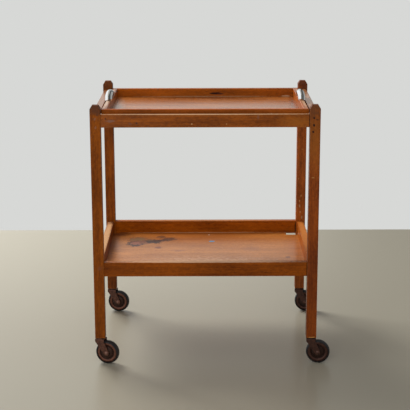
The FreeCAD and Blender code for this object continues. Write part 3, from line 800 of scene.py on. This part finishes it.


# ---- Wooden frame and tray ----
# Stains, dents and chips that years of use have left on each board, and painted light and shade: painted
# sheen on the tops of rails and rims, painted highlight lines where a panel meets its back rail, and painted
# shade over the backs of the shelf and the tray, along the shelf's left end and towards the feet of the
# posts. They are given as the fields of a Mark in order. Their places are in millimetres from the front left
# post's left face, its front face and its foot.
MARKS: dict[str, list[tuple]] = {
    "shelf_panel": [
        # Painted shade: the back of the shelf is darker, and a painted shadow of the left end rail lies along
        # the left end.
        ((305, 420, 180.5), (330, 190, 9), "#8a4618", 0.62, 0.3, 0.9),
        ((30, 300, 180.5), (50, 170, 9), "#6b4636", 0.6, 0.6, 0.9),
        ((45, 424, 180.5), (48, 32, 9), "#4a2418", 0.8, 0.5, 0.8),
        # Painted sheen: the front of the shelf is paler.
        ((305, 30, 180.5), (330, 180, 9), "#f6c69a", 0.82, 0.4, 0.9),
        ((580, 240, 180.5), (50, 300, 9), "#8a4526", 0.25, 0.4, 0.8),
        # A pot stain: its rim is dark, and inside it is washed out.
        ((101, 360, 180.5), (39, 32, 9), "#6a3a26", 0.7, 0.8, 0.4),
        ((101, 365, 180.5), (31, 24, 9), "#8a6a46", 0.85, 0.8, 0.4),
        ((96, 316, 180.5), (29, 31, 9), "#3a1f1a", 0.95, 0.9, 0.25),
        ((99, 322, 180.5), (20, 20, 9), "#9a5c42", 0.95, 0.9, 0.25),
        ((124, 332, 180.5), (21, 25, 9), "#7c4632", 0.75, 0.8, 0.5),
        ((149, 341, 180.5), (29, 27, 9), "#2c1a17", 0.95, 0.8, 0.4),
        ((139, 354, 180.5), (14, 10, 9), "#6b5236", 0.7, 0.8, 0.5),
        ((177, 354, 180.5), (22, 16, 9), "#3f241b", 0.9, 0.8, 0.4),
        ((198, 365, 180.5), (27, 22, 9), "#4e3226", 0.9, 0.8, 0.4),
        ((171, 391, 180.5), (17, 16, 9), "#573525", 0.8, 0.8, 0.4),
        ((166, 275, 180.5), (12, 13, 9), "#70382b", 0.75, 0.8, 0.4),
        ((227, 242, 180.5), (28, 12, 9), "#8e5a45", 0.5, 0.8, 0.6),
        # A spot of blue paint, a painted highlight line along the back where the shelf meets the back rail,
        # and smaller spots.
        ((323.6, 341.9, 180.5), (10, 6.5, 9), "#3b93c2", 1.0, 0.25, 0.25),
        ((305, 442, 180.5), (286, 5, 9), "#e8c8a0", 0.85, 0.4, 0.5),
        ((315.1, 414.9, 180.5), (3, 4, 9), "#e8e4dc", 0.9, 0.3, 0.3),
        ((540.6, 174.9, 180.5), (10, 12, 9), "#5b342b", 0.6, 0.8, 0.5),
        ((470, 110, 180.5), (40, 16, 9), "#7f4a33", 0.4, 0.8, 0.7),
        ((442.6, 260.9, 180.5), (40, 34, 9), "#8e5940", 0.35, 0.7, 0.8),
    ],
    # Painted sheen on the tops of the end rails.
    "top_rail_left": [((14, 235, 624.5), (13, 330, 1.5), "#c8966a", 0.3, 0.25, 0.6)],
    "top_rail_right": [((596, 235, 624.5), (13, 330, 1.5), "#d0a074", 0.45, 0.25, 0.6)],
    "lower_rail_left": [((14, 235, 215.5), (13, 330, 1.5), "#e0b282", 0.7, 0.25, 0.6)],
    "lower_rail_right": [((596, 235, 215.5), (13, 330, 1.5), "#cf8140", 0.8, 0.25, 0.6)],
    "lower_rail_back": [
        # Painted sheen on the top of the back rail.
        ((305, 456, 215.5), (330, 13, 1.5), "#b5763a", 0.5, 0.25, 0.6),
        ((582, 446.5, 196), (4, 8, 24), "#1f0f08", 0.95, 0.2, 0.4),
    ],
    "tray_base": [
        # Painted shade: the back of the tray is darker.
        ((305, 425, 603), (300, 80, 9), "#5a280e", 0.85, 0.5, 0.9),
        ((52, 200, 607), (30, 280, 9), "#c8a288", 0.7, 0.6, 0.7),
        ((562, 230, 607), (22, 300, 9), "#5f2f1c", 0.6, 0.4, 0.7),
    ],
    # Painted sheen on the tops of the end rims.
    "tray_rim_left": [((34, 235, 630), (7.5, 240, 12), "#d3b090", 0.8, 0.3, 0.4)],
    "tray_rim_right": [((576, 235, 630), (7, 240, 12), "#e0b48a", 0.6, 0.3, 0.4)],
    "tray_rim_front": [
        ((305, 24.9, 617), (440, 3, 16), "#5f2a0c", 0.35, 0.3, 0.5),
        ((305, 30, 635), (440, 9, 3), "#c8652c", 0.95, 0.2, 0.4),
    ],
    "tray_rim_back": [
        # A painted highlight line along the foot of the inner face, where the base meets it.
        ((305, 434.9, 603.4), (256, 6, 1.7), "#c59b78", 0.6, 0.4, 0.5),
        ((546, 434.9, 604), (16, 6, 3), "#d0ac8a", 0.7, 0.6, 0.5),
        ((338.6, 434.9, 612.5), (22, 8, 3.9), "#330f08", 1.0, 0.4, 0.35, 2.0),
        ((350.6, 434.9, 610.6), (12, 8, 2.2), "#6f3420", 0.7, 0.6, 0.4, 1.0),
    ],
    "top_rail_front": [
        ((305, 4.5, 625), (430, 3, 3), "#e2bd94", 0.95, 0.2, 0.5),
        ((545, 4.5, 604), (70, 6, 24), "#b46a1c", 0.35, 0.6, 0.9),
        ((54.6, 4.5, 606), (17, 6, 5), "#7d6054", 0.6, 0.8, 0.6),
        ((41.6, 4.5, 612), (3, 6, 3), "#3b2119", 0.8, 0.4, 0.4, 1.5),
        ((106.6, 4.5, 599), (6, 6, 3.2), "#6a4636", 0.6, 0.7, 0.5),
        ((123.6, 4.5, 600), (3.4, 6, 3.2), "#362825", 0.8, 0.4, 0.4, 1.5),
        ((269.6, 4.5, 598), (2.2, 6, 2.2), "#c99b68", 0.75, 0.3, 0.4),
        ((361.6, 4.5, 597.5), (2.2, 6, 2.2), "#b98852", 0.7, 0.3, 0.4),
        ((444.6, 4.5, 616), (4, 6, 10), "#7b5544", 0.5, 0.7, 0.6),
        ((480.6, 4.5, 625), (3, 6, 2), "#e2c7a4", 0.9, 0.3, 0.3),
        ((581.1, 4.5, 606), (1, 9, 30), "#140a06", 0.95, 0.1, 0.2),
    ],
    "lower_rail_front": [
        # Painted sheen on the top of the rail.
        ((305, 14, 215.5), (330, 13, 1.5), "#e2b68c", 0.7, 0.25, 0.6),
        ((581.1, 4.5, 196), (1.2, 9, 30), "#140a06", 0.95, 0.1, 0.2),
    ],
    "post_front_right": [
        ((596, 14, 560), (40, 40, 140), "#946020", 0.4, 0.2, 0.9),
        # Painted shade: darker towards the foot.
        ((596, 14, 40), (40, 40, 330), "#4d2208", 0.35, 0.2, 0.9),
        ((596, 14, 1), (20, 20, 3.4), "#cf9550", 0.85, 0.4, 0.4),
        ((596, 14, 650), (40, 40, 46), "#5a3823", 0.6, 0.7, 0.5),
        ((592.6, 0, 614), (3.2, 6, 3.4), "#22110e", 1.0, 0.3, 0.4, 2.0),
        ((592.6, 0, 594.5), (3.2, 6, 4.6), "#22110e", 1.0, 0.3, 0.4, 2.0),
        ((600.5, 0, 609), (5, 6, 1.8), "#3a1d12", 0.8, 0.6, 0.4),
        ((590.4, 0, 576.7), (3, 6, 4), "#2e1712", 1.0, 0.4, 0.4, 2.0),
        ((592.5, 0, 452.5), (5, 6, 1.3), "#c08a52", 0.8, 0.4, 0.4),
    ],
    "post_back_right": [
        # Painted shade: darker towards the foot.
        ((596, 456, 0), (40, 40, 250), "#4d2410", 0.4, 0.3, 0.9),
        ((596, 456, 650), (40, 40, 60), "#54291a", 0.75, 0.5, 0.5),
        ((592.6, 442, 264), (2.2, 6, 5), "#b08a66", 0.8, 0.6, 0.4),
        ((599.6, 442, 228), (2.6, 6, 6), "#b08a66", 0.75, 0.6, 0.4),
        ((594.6, 442, 245), (2, 6, 4), "#c39b74", 0.7, 0.6, 0.4),
        ((596.9, 442, 296), (2.4, 6, 4.4), "#c08a52", 0.8, 0.6, 0.4),
        ((591.6, 442, 280), (2.2, 6, 3.6), "#c08a52", 0.8, 0.6, 0.4),
        ((588, 442, 349), (1.8, 6, 3.4), "#c08a52", 0.7, 0.6, 0.4),
        ((598.4, 442, 440.5), (4.4, 6, 1.6), "#b8824e", 0.7, 0.5, 0.5),
    ],
    "post_back_left": [
        # Painted shade: darker towards the foot.
        ((14, 456, 0), (40, 40, 180), "#3f1d0c", 0.5, 0.3, 0.9),
        ((14, 456, 650), (40, 40, 46), "#5a3823", 0.5, 0.7, 0.5),
        ((14, 456, 560), (40, 40, 190), "#4a2010", 0.5, 0.3, 0.9),
    ],
    "post_front_left": [
        # Painted shade: darker towards the foot.
        ((14, 14, 40), (40, 40, 330), "#572608", 0.3, 0.2, 0.9),
        ((14, 14, 650), (40, 40, 46), "#4f3224", 0.75, 0.7, 0.5),
        ((18.6, 0, 200), (9, 6, 9), "#7a4a34", 0.45, 0.8, 0.6),
        ((13.6, 0, 612), (4.5, 6, 4.5), "#8e6c5a", 0.45, 0.8, 0.7),
        ((15.6, 0, 590), (4, 6, 5), "#8e6c5a", 0.4, 0.8, 0.7),
    ],
}


@dataclass
class Joinery:
    """The posts, rails, shelf and tray. Each board keeps its solid and gets wood of its own."""

    nodes: dict[str, Piece]
    tray_pitch: float = 1.0           # degrees that the tray and its bearers rise towards the front
    first_seed: float = 0.4           # of the pattern of the first board
    seed_step: float = 1.7            # from one board's seed to the next one's
    # Where a tree's centre lies from its board's middle, in mm, and how far that moves between boards.
    pith: Pair = (20.0, 70.0)
    pith_spread: Pair = (9.0, 25.0)
    # What sets wood apart, for the boards whose names start so. A later entry goes over an earlier one.
    finishes: dict[str, dict[str, object]] = field(default_factory=lambda: {
        "post_": dict(coat=0.2, coat_roughness=0.35, sheen_level=0.1, arris_wear=0.6, contrast=1.4),
        "post_back_right": dict(early="#bf6420", late="#74380e", sheen_level=0.15, arris_wear=0.4),
        "post_front_left": dict(coat=0.12, contrast=1.0),
        "post_front_right": dict(early="#9f4d14", late="#5a2408"),
        "lower_rail_": dict(early="#9e4e07", late="#5c2700", coat=0.2, coat_roughness=0.25, sheen_level=0.08),
        "lower_rail_back": dict(early="#b45b0b", late="#6c2f01"),
        "lower_rail_right": dict(early="#c26a1b", late="#84400c"),
        "top_rail_": dict(coat=0.9, sheen_level=0.1, contrast=1.15),
        "top_rail_right": dict(early="#b8640f", late="#6c3604", coat=1.0, coat_roughness=0.18,
                               sheen_level=0.15, contrast=1.0),
        "tray_rim_": dict(coat=0.7, coat_roughness=0.3),
        "tray_rim_back": dict(early="#c0620a", late="#7a3a02", coat=0.5),
        "tray_rim_front": dict(early="#b35a14", late="#6d3607", coat=0.25, sheen_level=0.08),
        "tray_rim_right": dict(early="#c4681c", late="#854010", coat=0.6),
        "tray_base": dict(early="#c9782f", late="#8c4d18", ring_width=9.0, contrast=1.1),
        "shelf_panel": dict(early="#d68b42", late="#a6642a", ring_width=9.0, contrast=1.1, coat=0.85,
                            coat_roughness=0.27),
    })

    def boards(self) -> list[str]:
        """The names of the wooden nodes."""
        kinds = ("post_", "top_rail_", "lower_rail_", "tray_rim_", "tray_bearer_", "tray_base", "shelf_panel")
        return sorted(name for name in self.nodes if name.startswith(kinds))

    def squared_box(self, name: str, tip: float) -> tuple[Vector, Vector]:
        """The lowest and highest corners of a board once it is turned square, about X through the origin.

        Args:
            name: The board's node.
            tip: Degrees that it is turned by.

        Returns:
            Both corners.
        """
        mesh = self.nodes[name].data
        points = np.empty(3 * len(mesh.vertices))
        mesh.vertices.foreach_get("co", points)
        squared = points.reshape(-1, 3) @ np.array(Matrix.Rotation(math.radians(tip), 3, "X")).T
        return Vector(squared.min(0)), Vector(squared.max(0))

    def wood(self, name: str, number: int) -> VarnishedWood:
        """The wood of one board.

        Its fibres run up a post, from front to back on a board at an end, and else along the trolley. The
        tree's centre moves from board to board, so that the rings differ.

        Args:
            name: The board's node.
            number: Its place in the list of boards.

        Returns:
            The finish.
        """
        sway = (math.sin(number), math.cos(3 * number))
        pith = tuple(p + spread * s for p, spread, s in zip(self.pith, self.pith_spread, sway))
        kind = "veneer" if name in ("shelf_panel", "tray_base") else "hardwood"
        grain = Grain.ALONG_Y if name.endswith(("left", "right")) else Grain.ALONG_X
        finish: dict[str, object] = {}
        for start, settings in self.finishes.items():
            finish |= settings if name.startswith(start) else {}
        return VarnishedWood(
            f"satin varnished stained {kind} {name}", Grain.ALONG_Z if name.startswith("post_") else grain,
            pith=pith, tip=self.tray_pitch if name.startswith("tray_") else 0.0,
            marks=tuple(Mark(*row) for row in MARKS.get(name, ())),
            marks_from=tuple(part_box("post_front_left")[0]), **finish,
        )

    def build(self) -> None:
        """Dresses every board."""
        for number, name in enumerate(self.boards()):
            wood = self.wood(name, number)
            seed = self.seed_step * number + self.first_seed
            dress(self.nodes[name], wood.material(*self.squared_box(name, wood.tip), seed))
            LOG.info("dressed %s", name)


@dataclass
class Fasteners:
    """Panel pins and screws, which keep their solids."""

    nodes: dict[str, Piece]
    names: tuple[str, ...] = ("shelf_pins", "bearer_screws", "handle_screws")

    def build(self) -> None:
        """Dresses them in plain steel."""
        steel = PlainSteel().material()
        for name in self.names:
            dress(self.nodes[name], steel)
            LOG.info("dressed %s", name)


# ---- Bow handles ----
@dataclass
class BowHandle:
    """A pressed strap with a crowned back, bowed over a finger gap, with a boss inside each foot."""

    side: str
    length: float = 106.0
    rise: float = 24.0
    width: float = 21.0               # halfway along
    foot_width: float = 19.0
    crown: float = 11.0               # halfway along
    foot_crown: float = 5.5
    edge: float = 1.4
    corner: float = 9.0
    bow: float = 300.0                # radius of the shallow bow
    least_upright: float = 0.5
    edge_softness: float = 0.6
    boss_radius: float = 4.5
    boss_height: float = 9.0
    boss_sink: float = 0.7
    pitch: float = 1.0                # degrees that the tray rises towards the front

    def path(self) -> tuple[np.ndarray, np.ndarray]:
        """The line along the strap's underside: up, round a corner, over the bow, round and down.

        The corner arcs touch the bow from inside. Each point's outward direction is up the arc's radius.

        Returns:
            Points (y, z) and outward directions, n by two each.
        """
        foot, top = self.length / 2 - self.foot_crown, self.rise - self.crown
        corner = min(self.corner, top - foot ** 2 / (2 * self.bow) - self.least_upright)
        across, between = foot - corner, self.bow - corner
        rise = math.sqrt(between ** 2 - across ** 2)
        touch, foot_z = math.degrees(math.atan2(rise, across)), top - self.bow + rise
        upright = np.linspace((foot, 0), (foot, foot_z), 4)[:-1]
        bend, back = (0, touch, 16), (touch, 180 - touch, 49)
        half = np.concatenate([upright, arc_points((across, foot_z), corner, *bend)[:-1]])
        half_out = np.concatenate([np.tile((1.0, 0.0), (3, 1)), arc_points((0, 0), 1, *bend)[:-1]])
        return (with_mirror(half, (-1, 1), arc_points((0, top - self.bow), self.bow, *back)),
                with_mirror(half_out, (-1, 1), arc_points((0, 0), 1, *back)))

    def sections(self, swell: np.ndarray) -> np.ndarray:
        """The strap's sections (x, out): flat inside and crowned outside with a circle's arc, soft edges.

        Args:
            swell: The share of the way from a foot's section to the middle one, for each of n sections.

        Returns:
            n by m by two.
        """
        half = (self.foot_width + (self.width - self.foot_width) * swell[:, None]) / 2
        height = self.foot_crown + (self.crown - self.foot_crown) * swell[:, None] - self.edge
        radius = (half ** 2 + height ** 2) / (2 * height)
        soft, ones = self.edge_softness, np.ones_like(half)
        angle = np.arctan2(half - soft, radius - height) * np.linspace(1, -1, 33)
        back_x, back = radius * np.sin(angle), self.edge + radius * np.cos(angle) - radius + height
        inset, side = np.array([0.25 * soft, 0, 0.25 * soft]), np.array([0.95, 0.5, 0.06]) * self.edge
        inside = (half - soft) * np.linspace(-1, 1, 9)
        x = np.hstack([back_x, inset - half, inside, half - inset])
        out = np.hstack([back, ones * side, ones * np.zeros(9), ones * side[::-1]])
        return np.dstack([x, out])

    def build(self, chrome: ChromePlate) -> None:
        """Makes the handle in place of its solid.

        Args:
            chrome: The plating.
        """
        node = f"handle_{self.side}"
        low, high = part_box(node)
        points, out = self.path()
        run = np.concatenate([[0], np.cumsum(np.linalg.norm(np.diff(points, axis=0), axis=1))])
        sections = self.sections(4 * run * (run[-1] - run) / run[-1] ** 2)
        yz = points[:, None] + out[:, None] * sections[:, :, 1:]
        shell = Shell()
        shell.add_grid(np.dstack([sections[:, :, :1], yz]), False, True, capped=True)
        reach = self.length / 2 - self.foot_crown + self.boss_sink - self.boss_radius
        boss = softened(np.array([(NEAR_AXIS, 0), (self.boss_radius, 0), (self.boss_radius, self.boss_height),
                                  (NEAR_AXIS, self.boss_height)]), [0, 0.4, 0.4, 0])
        for y in (-reach, reach):
            shell.add_turned(boss, 32, False, upright=True, shift=(0, y, 0))
        tip = Matrix.Rotation(math.radians(-self.pitch), 4, "X")
        middle = (low + high) / 2 - tip @ Vector((0, 0, self.rise / 2)) * MM
        foot = low.z + self.length / 2 * MM * math.sin(math.radians(self.pitch))
        piece = shell.make(f"bow_handle_{self.side}", Matrix.Translation((middle.x, middle.y, foot)) @ tip)
        dress(piece, chrome.material(middle.x))
        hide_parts(node)
        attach(piece, "tray")
        LOG.info("made %s", piece.name)


# ---- Castors ----
@dataclass
class Castor:
    """One swivel castor: socket flange, thrust ring, stem, pressed fork, axle, wheel disc and tyre."""

    place: str
    joints: dict[str, dict]
    height: float = 75.5
    wheel_radius: float = 33.0
    trail: float = 20.0
    tyre_width: float = 18.0
    tyre_thickness: float = 4.5
    tread_crown: float = 1.0
    shoulder: float = 3.4
    disc_edge: float = 13.0
    rim_bulge: float = 1.2
    groove_radius: float = 18.5
    groove_width: float = 3.6
    groove_floor: float = 1.8
    groove_depth: float = 2.6
    centre_bulge: float = 1.4
    hub_radius: float = 8.0
    hub_gap: float = 0.5
    axle_radius: float = 2.5
    head_radius: float = 4.6
    head_height: float = 2.0
    sheet: float = 2.0
    sheet_softness: float = 0.45
    fork_clearance: float = 2.0
    fork_front: float = 12.0
    fork_back: float = 13.5
    collar_drop: float = 11.0
    foot_radius: float = 7.5
    bend_radius: float = 2.0          # of the sheet's middle where it turns down from the crown
    socket_radius: float = 5.5
    socket_depth: float = 38.0
    flange_radius: float = 13.5
    flange_thickness: float = 1.2
    ring_radius: float = 12.0
    ring_height: float = 1.8
    ring_gap: float = 0.3
    stem_radius: float = 3.95
    stem_gap: float = 0.05
    stem_tip_gap: float = 2.0
    rivet_radius: float = 6.0
    rivet_height: float = 1.6

    def stand(self) -> Matrix:
        """The castor's own frame.

        Returns:
            The matrix: X along the castor's heading, Y along its axle, Z up, zero at the post's foot.
        """
        swivel = Vector(self.joints[f"swivel_{self.place}"]["pos_m"])
        axle = Vector(self.joints[f"wheel_spin_{self.place}"]["axis"]).normalized()
        turn = Matrix((axle.cross(Vector((0, 0, 1))), axle, Vector((0, 0, 1)))).transposed().to_4x4()
        return Matrix.Translation(swivel) @ turn

    def wheel_frame(self) -> Matrix:
        """The castor's frame moved to the middle of the wheel."""
        middle = Vector((self.trail, 0, self.wheel_radius - self.height)) * MM
        return self.stand() @ Matrix.Translation(middle)

    def fork_edge(self, z: np.ndarray, collar: float, side: float) -> np.ndarray:
        """Where an edge of the fork runs: straight at the collar, then a straight taper, then the round foot.

        The foot is x = axle +- sqrt(radius^2 - (z - axle)^2), and the taper touches it.

        Args:
            z: The heights that are asked for.
            collar: The edge's x at the collar.
            side: -1 for the leading edge and 1 for the trailing one.

        Returns:
            The edge's x at each height.
        """
        axle_x, axle_z = self.trail, self.wheel_radius - self.height
        dx, dz = axle_x - collar, axle_z + self.collar_drop
        away = math.hypot(dx, dz)
        heading = math.atan2(dz, dx) + side * math.asin(self.foot_radius / away)
        reach = math.sqrt(away ** 2 - self.foot_radius ** 2)
        touch_x, touch_z = collar + reach * math.cos(heading), -self.collar_drop + reach * math.sin(heading)
        taper = collar + (touch_x - collar) * (z + self.collar_drop) / (touch_z + self.collar_drop)
        foot = axle_x + side * np.sqrt(np.clip(self.foot_radius ** 2 - (z - axle_z) ** 2, 0, None))
        return np.where(z > -self.collar_drop, collar, np.where(z > touch_z, taper, foot))

    def fork(self) -> Piece:
        """The fork, as one bent sheet.

        A path runs up one plate, over the crown and down the other, as (y, z). At each of its points the
        sheet reaches along X from the leading edge to the trailing one.

        Returns:
            The piece, with its thickness.
        """
        crown = -self.flange_thickness - self.ring_gap - self.ring_height - self.sheet / 2
        middle_y = self.tyre_width / 2 + self.fork_clearance + self.sheet / 2
        axle_z, bend = self.wheel_radius - self.height, self.bend_radius
        foot = axle_z - self.foot_radius * np.sin(np.radians(np.linspace(84, 0, 22)))
        tall = np.concatenate([foot, np.linspace(axle_z, -self.collar_drop, 26)[1:],
                               np.linspace(-self.collar_drop, crown - bend, 5)[1:]])
        plate = np.stack([np.full(len(tall), middle_y), tall], 1)
        round_over = arc_points((middle_y - bend, crown - bend), bend, 0, 90, 7)[1:]
        flat = np.linspace((middle_y - bend, crown), (bend - middle_y, crown), 15)[1:-1]
        path = with_mirror(np.concatenate([plate, round_over]), (-1, 1), flat)
        lead, trailing = (self.fork_edge(path[:, 1], collar, side)[:, None]
                          for collar, side in ((-self.fork_front, -1.0), (self.fork_back, 1.0)))
        x = lead + (trailing - lead) * np.linspace(0, 1, 13)
        y, z = (path[:, i:i + 1] + 0 * x for i in (0, 1))
        shell = Shell()
        shell.add_grid(np.dstack([x, y, z]), False, False)
        piece = shell.make(f"castor_pressed_fork_{self.place}", self.stand())
        thick = piece.modifiers.new("sheet thickness", "SOLIDIFY")
        thick.thickness, thick.offset, thick.use_even_offset = self.sheet * MM, 0.0, True
        soft = piece.modifiers.new("pressed edge", "BEVEL")
        soft.width, soft.segments, soft.limit_method = self.sheet_softness * MM, 2, "ANGLE"
        soft.angle_limit, soft.harden_normals = math.radians(50), True
        return piece

    def turned_piece(self, name: str, profile: np.ndarray, closed: bool, segments: int = 48,
                     upright: bool = True) -> Piece:
        """A piece turned about the swivel axis or about the axle.

        Args:
            name: The piece's name, without its place.
            profile: Radius and height along the axis, n by two.
            closed: Whether the profile is a loop clear of the axis.
            segments: Steps round the circle.
            upright: Whether it turns about the swivel axis.

        Returns:
            The piece.
        """
        shell = Shell()
        shell.add_turned(profile, segments, closed, upright)
        return shell.make(f"{name}_{self.place}", self.stand() if upright else self.wheel_frame())

    def disc(self) -> Piece:
        """The wheel disc: its profile turned about the axle, the same on both faces.

        Returns:
            The piece.
        """
        edge, disc_radius = self.disc_edge / 2, self.wheel_radius - self.tyre_thickness
        hub = self.tyre_width / 2 + self.fork_clearance - self.hub_gap
        inner, outer = self.groove_radius - self.groove_width / 2, self.groove_radius + self.groove_width / 2
        floor_in, floor_out = (self.groove_radius + side * self.groove_floor / 2 for side in (-1, 1))
        face = np.array([
            (self.axle_radius + self.stem_gap, hub), (self.hub_radius, hub),
            (self.hub_radius + 1, edge + self.centre_bulge), (inner, edge),
            (floor_in, edge - self.groove_depth), (floor_out, edge - self.groove_depth), (outer, edge),
            ((outer + disc_radius) / 2, edge + self.rim_bulge), (disc_radius, edge),
        ])
        soft = [0.3, 0.8, 1.2, 0.7, 0.9, 0.9, 0.7, 2.0, 0.2]
        profile = softened(with_mirror(face, (1, -1)), soft + soft[::-1], 5)
        return self.turned_piece("castor_wheel_disc", profile, True, 96, False)

    def tyre(self) -> Piece:
        """The tyre: side walls, rounded shoulders and a crowned tread z = radius - crown (2y/width)^2.

        Returns:
            The piece.
        """
        half, seat = self.tyre_width / 2, self.wheel_radius - self.tyre_thickness
        flat, base = half - self.shoulder, self.wheel_radius - self.tread_crown
        y = np.linspace(flat, -flat, 13)
        tread = np.stack([self.wheel_radius - self.tread_crown * (y / flat) ** 2, y], 1)
        shoulder = arc_points((base - self.shoulder, flat), self.shoulder, 90, 0, 8)[:-1]
        wall = [(seat, self.disc_edge / 2), (seat, half - 0.5), (seat + 0.15, half)]
        side = np.concatenate([wall, shoulder])
        return self.turned_piece("castor_rubber_tyre", with_mirror(side, (1, -1), tread), True, 96, False)

    def axle(self) -> Piece:
        """The axle, a rivet with a domed head (part of a sphere) on each plate.

        Returns:
            The piece.
        """
        face = self.tyre_width / 2 + self.fork_clearance + self.sheet
        sphere = (self.head_radius ** 2 + self.head_height ** 2) / (2 * self.head_height)
        spread = math.degrees(math.asin(self.head_radius / sphere))
        dome = arc_points((0, face + self.head_height - sphere), sphere, 89.6, 90 - spread, 12)
        half = np.concatenate([dome, [(self.head_radius, face), (self.axle_radius, face)]])
        return self.turned_piece("castor_riveted_axle", with_mirror(half, (1, -1)), False, 40, False)

    def upright_pieces(self) -> dict[str, Piece]:
        """The socket, the thrust ring and the stem, each turned from a profile of softened corners.

        Returns:
            The pieces by kind.
        """
        bore = self.stem_radius + self.stem_gap
        flange, ring_top = self.flange_thickness, -self.flange_thickness - self.ring_gap
        crown_top = ring_top - self.ring_height
        crown_bottom = crown_top - self.sheet
        tip, rivet = self.socket_depth - self.stem_tip_gap, crown_bottom - self.rivet_height
        socket = [(bore, -flange), (self.flange_radius, -flange), (self.flange_radius, 0),
                  (self.socket_radius, 0), (self.socket_radius, self.socket_depth), (bore, self.socket_depth)]
        ring = [(self.stem_radius, ring_top), (self.ring_radius, ring_top), (self.ring_radius, crown_top),
                (self.stem_radius, crown_top)]
        stem = [(NEAR_AXIS, rivet), (self.rivet_radius, rivet), (self.rivet_radius, crown_bottom),
                (self.stem_radius, crown_bottom), (self.stem_radius, tip), (NEAR_AXIS, tip)]
        return {kind: self.turned_piece(name, softened(np.array(corners), soft), kind != "stem")
                for kind, name, corners, soft in (
                    ("socket", "castor_post_socket", socket, [0.2, 0.5, 0, 0, 0.2, 0.2]),
                    ("ring", "castor_thrust_ring", ring, [0, 0.9, 0.9, 0]),
                    ("stem", "castor_stem_pin", stem, [0, 0.9, 0, 0, 2.4, 0]))}

    def build(self, bronze: BronzedSteel, steel: Material, rivet: Material, rubber: Material) -> None:
        """Makes the castor in place of its solids.

        Args:
            bronze: The bronzed finish, of which the disc gets one of its own.
            steel: The same finish as the other pieces wear it.
            rivet: The axle's finish.
            rubber: The tyre's rubber.
        """
        wheel, wheel_body = self.wheel_frame(), f"wheel_{self.place}"
        disc_steel = bronze.material((wheel.translation, wheel.col[1].xyz))
        finishes = {"tyre": rubber, "wheel": disc_steel, "axle": rivet}
        body = {"socket": "frame", "wheel": wheel_body, "tyre": wheel_body}
        pieces = self.upright_pieces() | {"fork": self.fork(), "axle": self.axle(), "wheel": self.disc(),
                                          "tyre": self.tyre()}
        for kind, piece in pieces.items():
            dress(piece, finishes.get(kind, steel))
            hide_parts(f"castor_{kind}_{self.place}")
            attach(piece, body.get(kind, f"fork_{self.place}"))
            LOG.info("made %s", piece.name)


# ---- The whole trolley ----
def main() -> None:
    """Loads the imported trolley, sets the studio and dresses or makes every piece."""
    logging.basicConfig(level=logging.INFO, format="%(message)s")
    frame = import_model()
    Studio().build()
    Joinery(frame["nodes"]).build()
    Fasteners(frame["nodes"]).build()
    chrome = ChromePlate()
    for side in ("left", "right"):
        BowHandle(side).build(chrome)
    joints = {joint["name"]: joint for joint in frame["joints"]}
    rubber = TyreRubber().material()
    # The castors on the right get darker lacquer and copper and a weaker painted highlight ring, as painted
    # shade, since the light comes from the left. Each axle is lightened as a painted highlight, less on the
    # right.
    finishes = {
        "left": (BronzedSteel(),
                 BronzedSteel("bronzed rivet, painted highlight", "#9a7265", "#6e4d42", "#d8ada0")),
        "right": (BronzedSteel("grimy bronzed pressed steel", "#523429", "#36221c", "#70463a", ring_highlight=0.1),
                  BronzedSteel("grimy bronzed rivet", "#6a4a40", "#473029", "#8d665a")),
    }
    for side, (bronze, rivet_bronze) in finishes.items():
        steel, rivet = bronze.material(), rivet_bronze.material()
        for end in ("front", "back"):
            Castor(f"{end}_{side}", joints).build(bronze, steel, rivet, rubber)


if __name__ == "__main__":
    main()
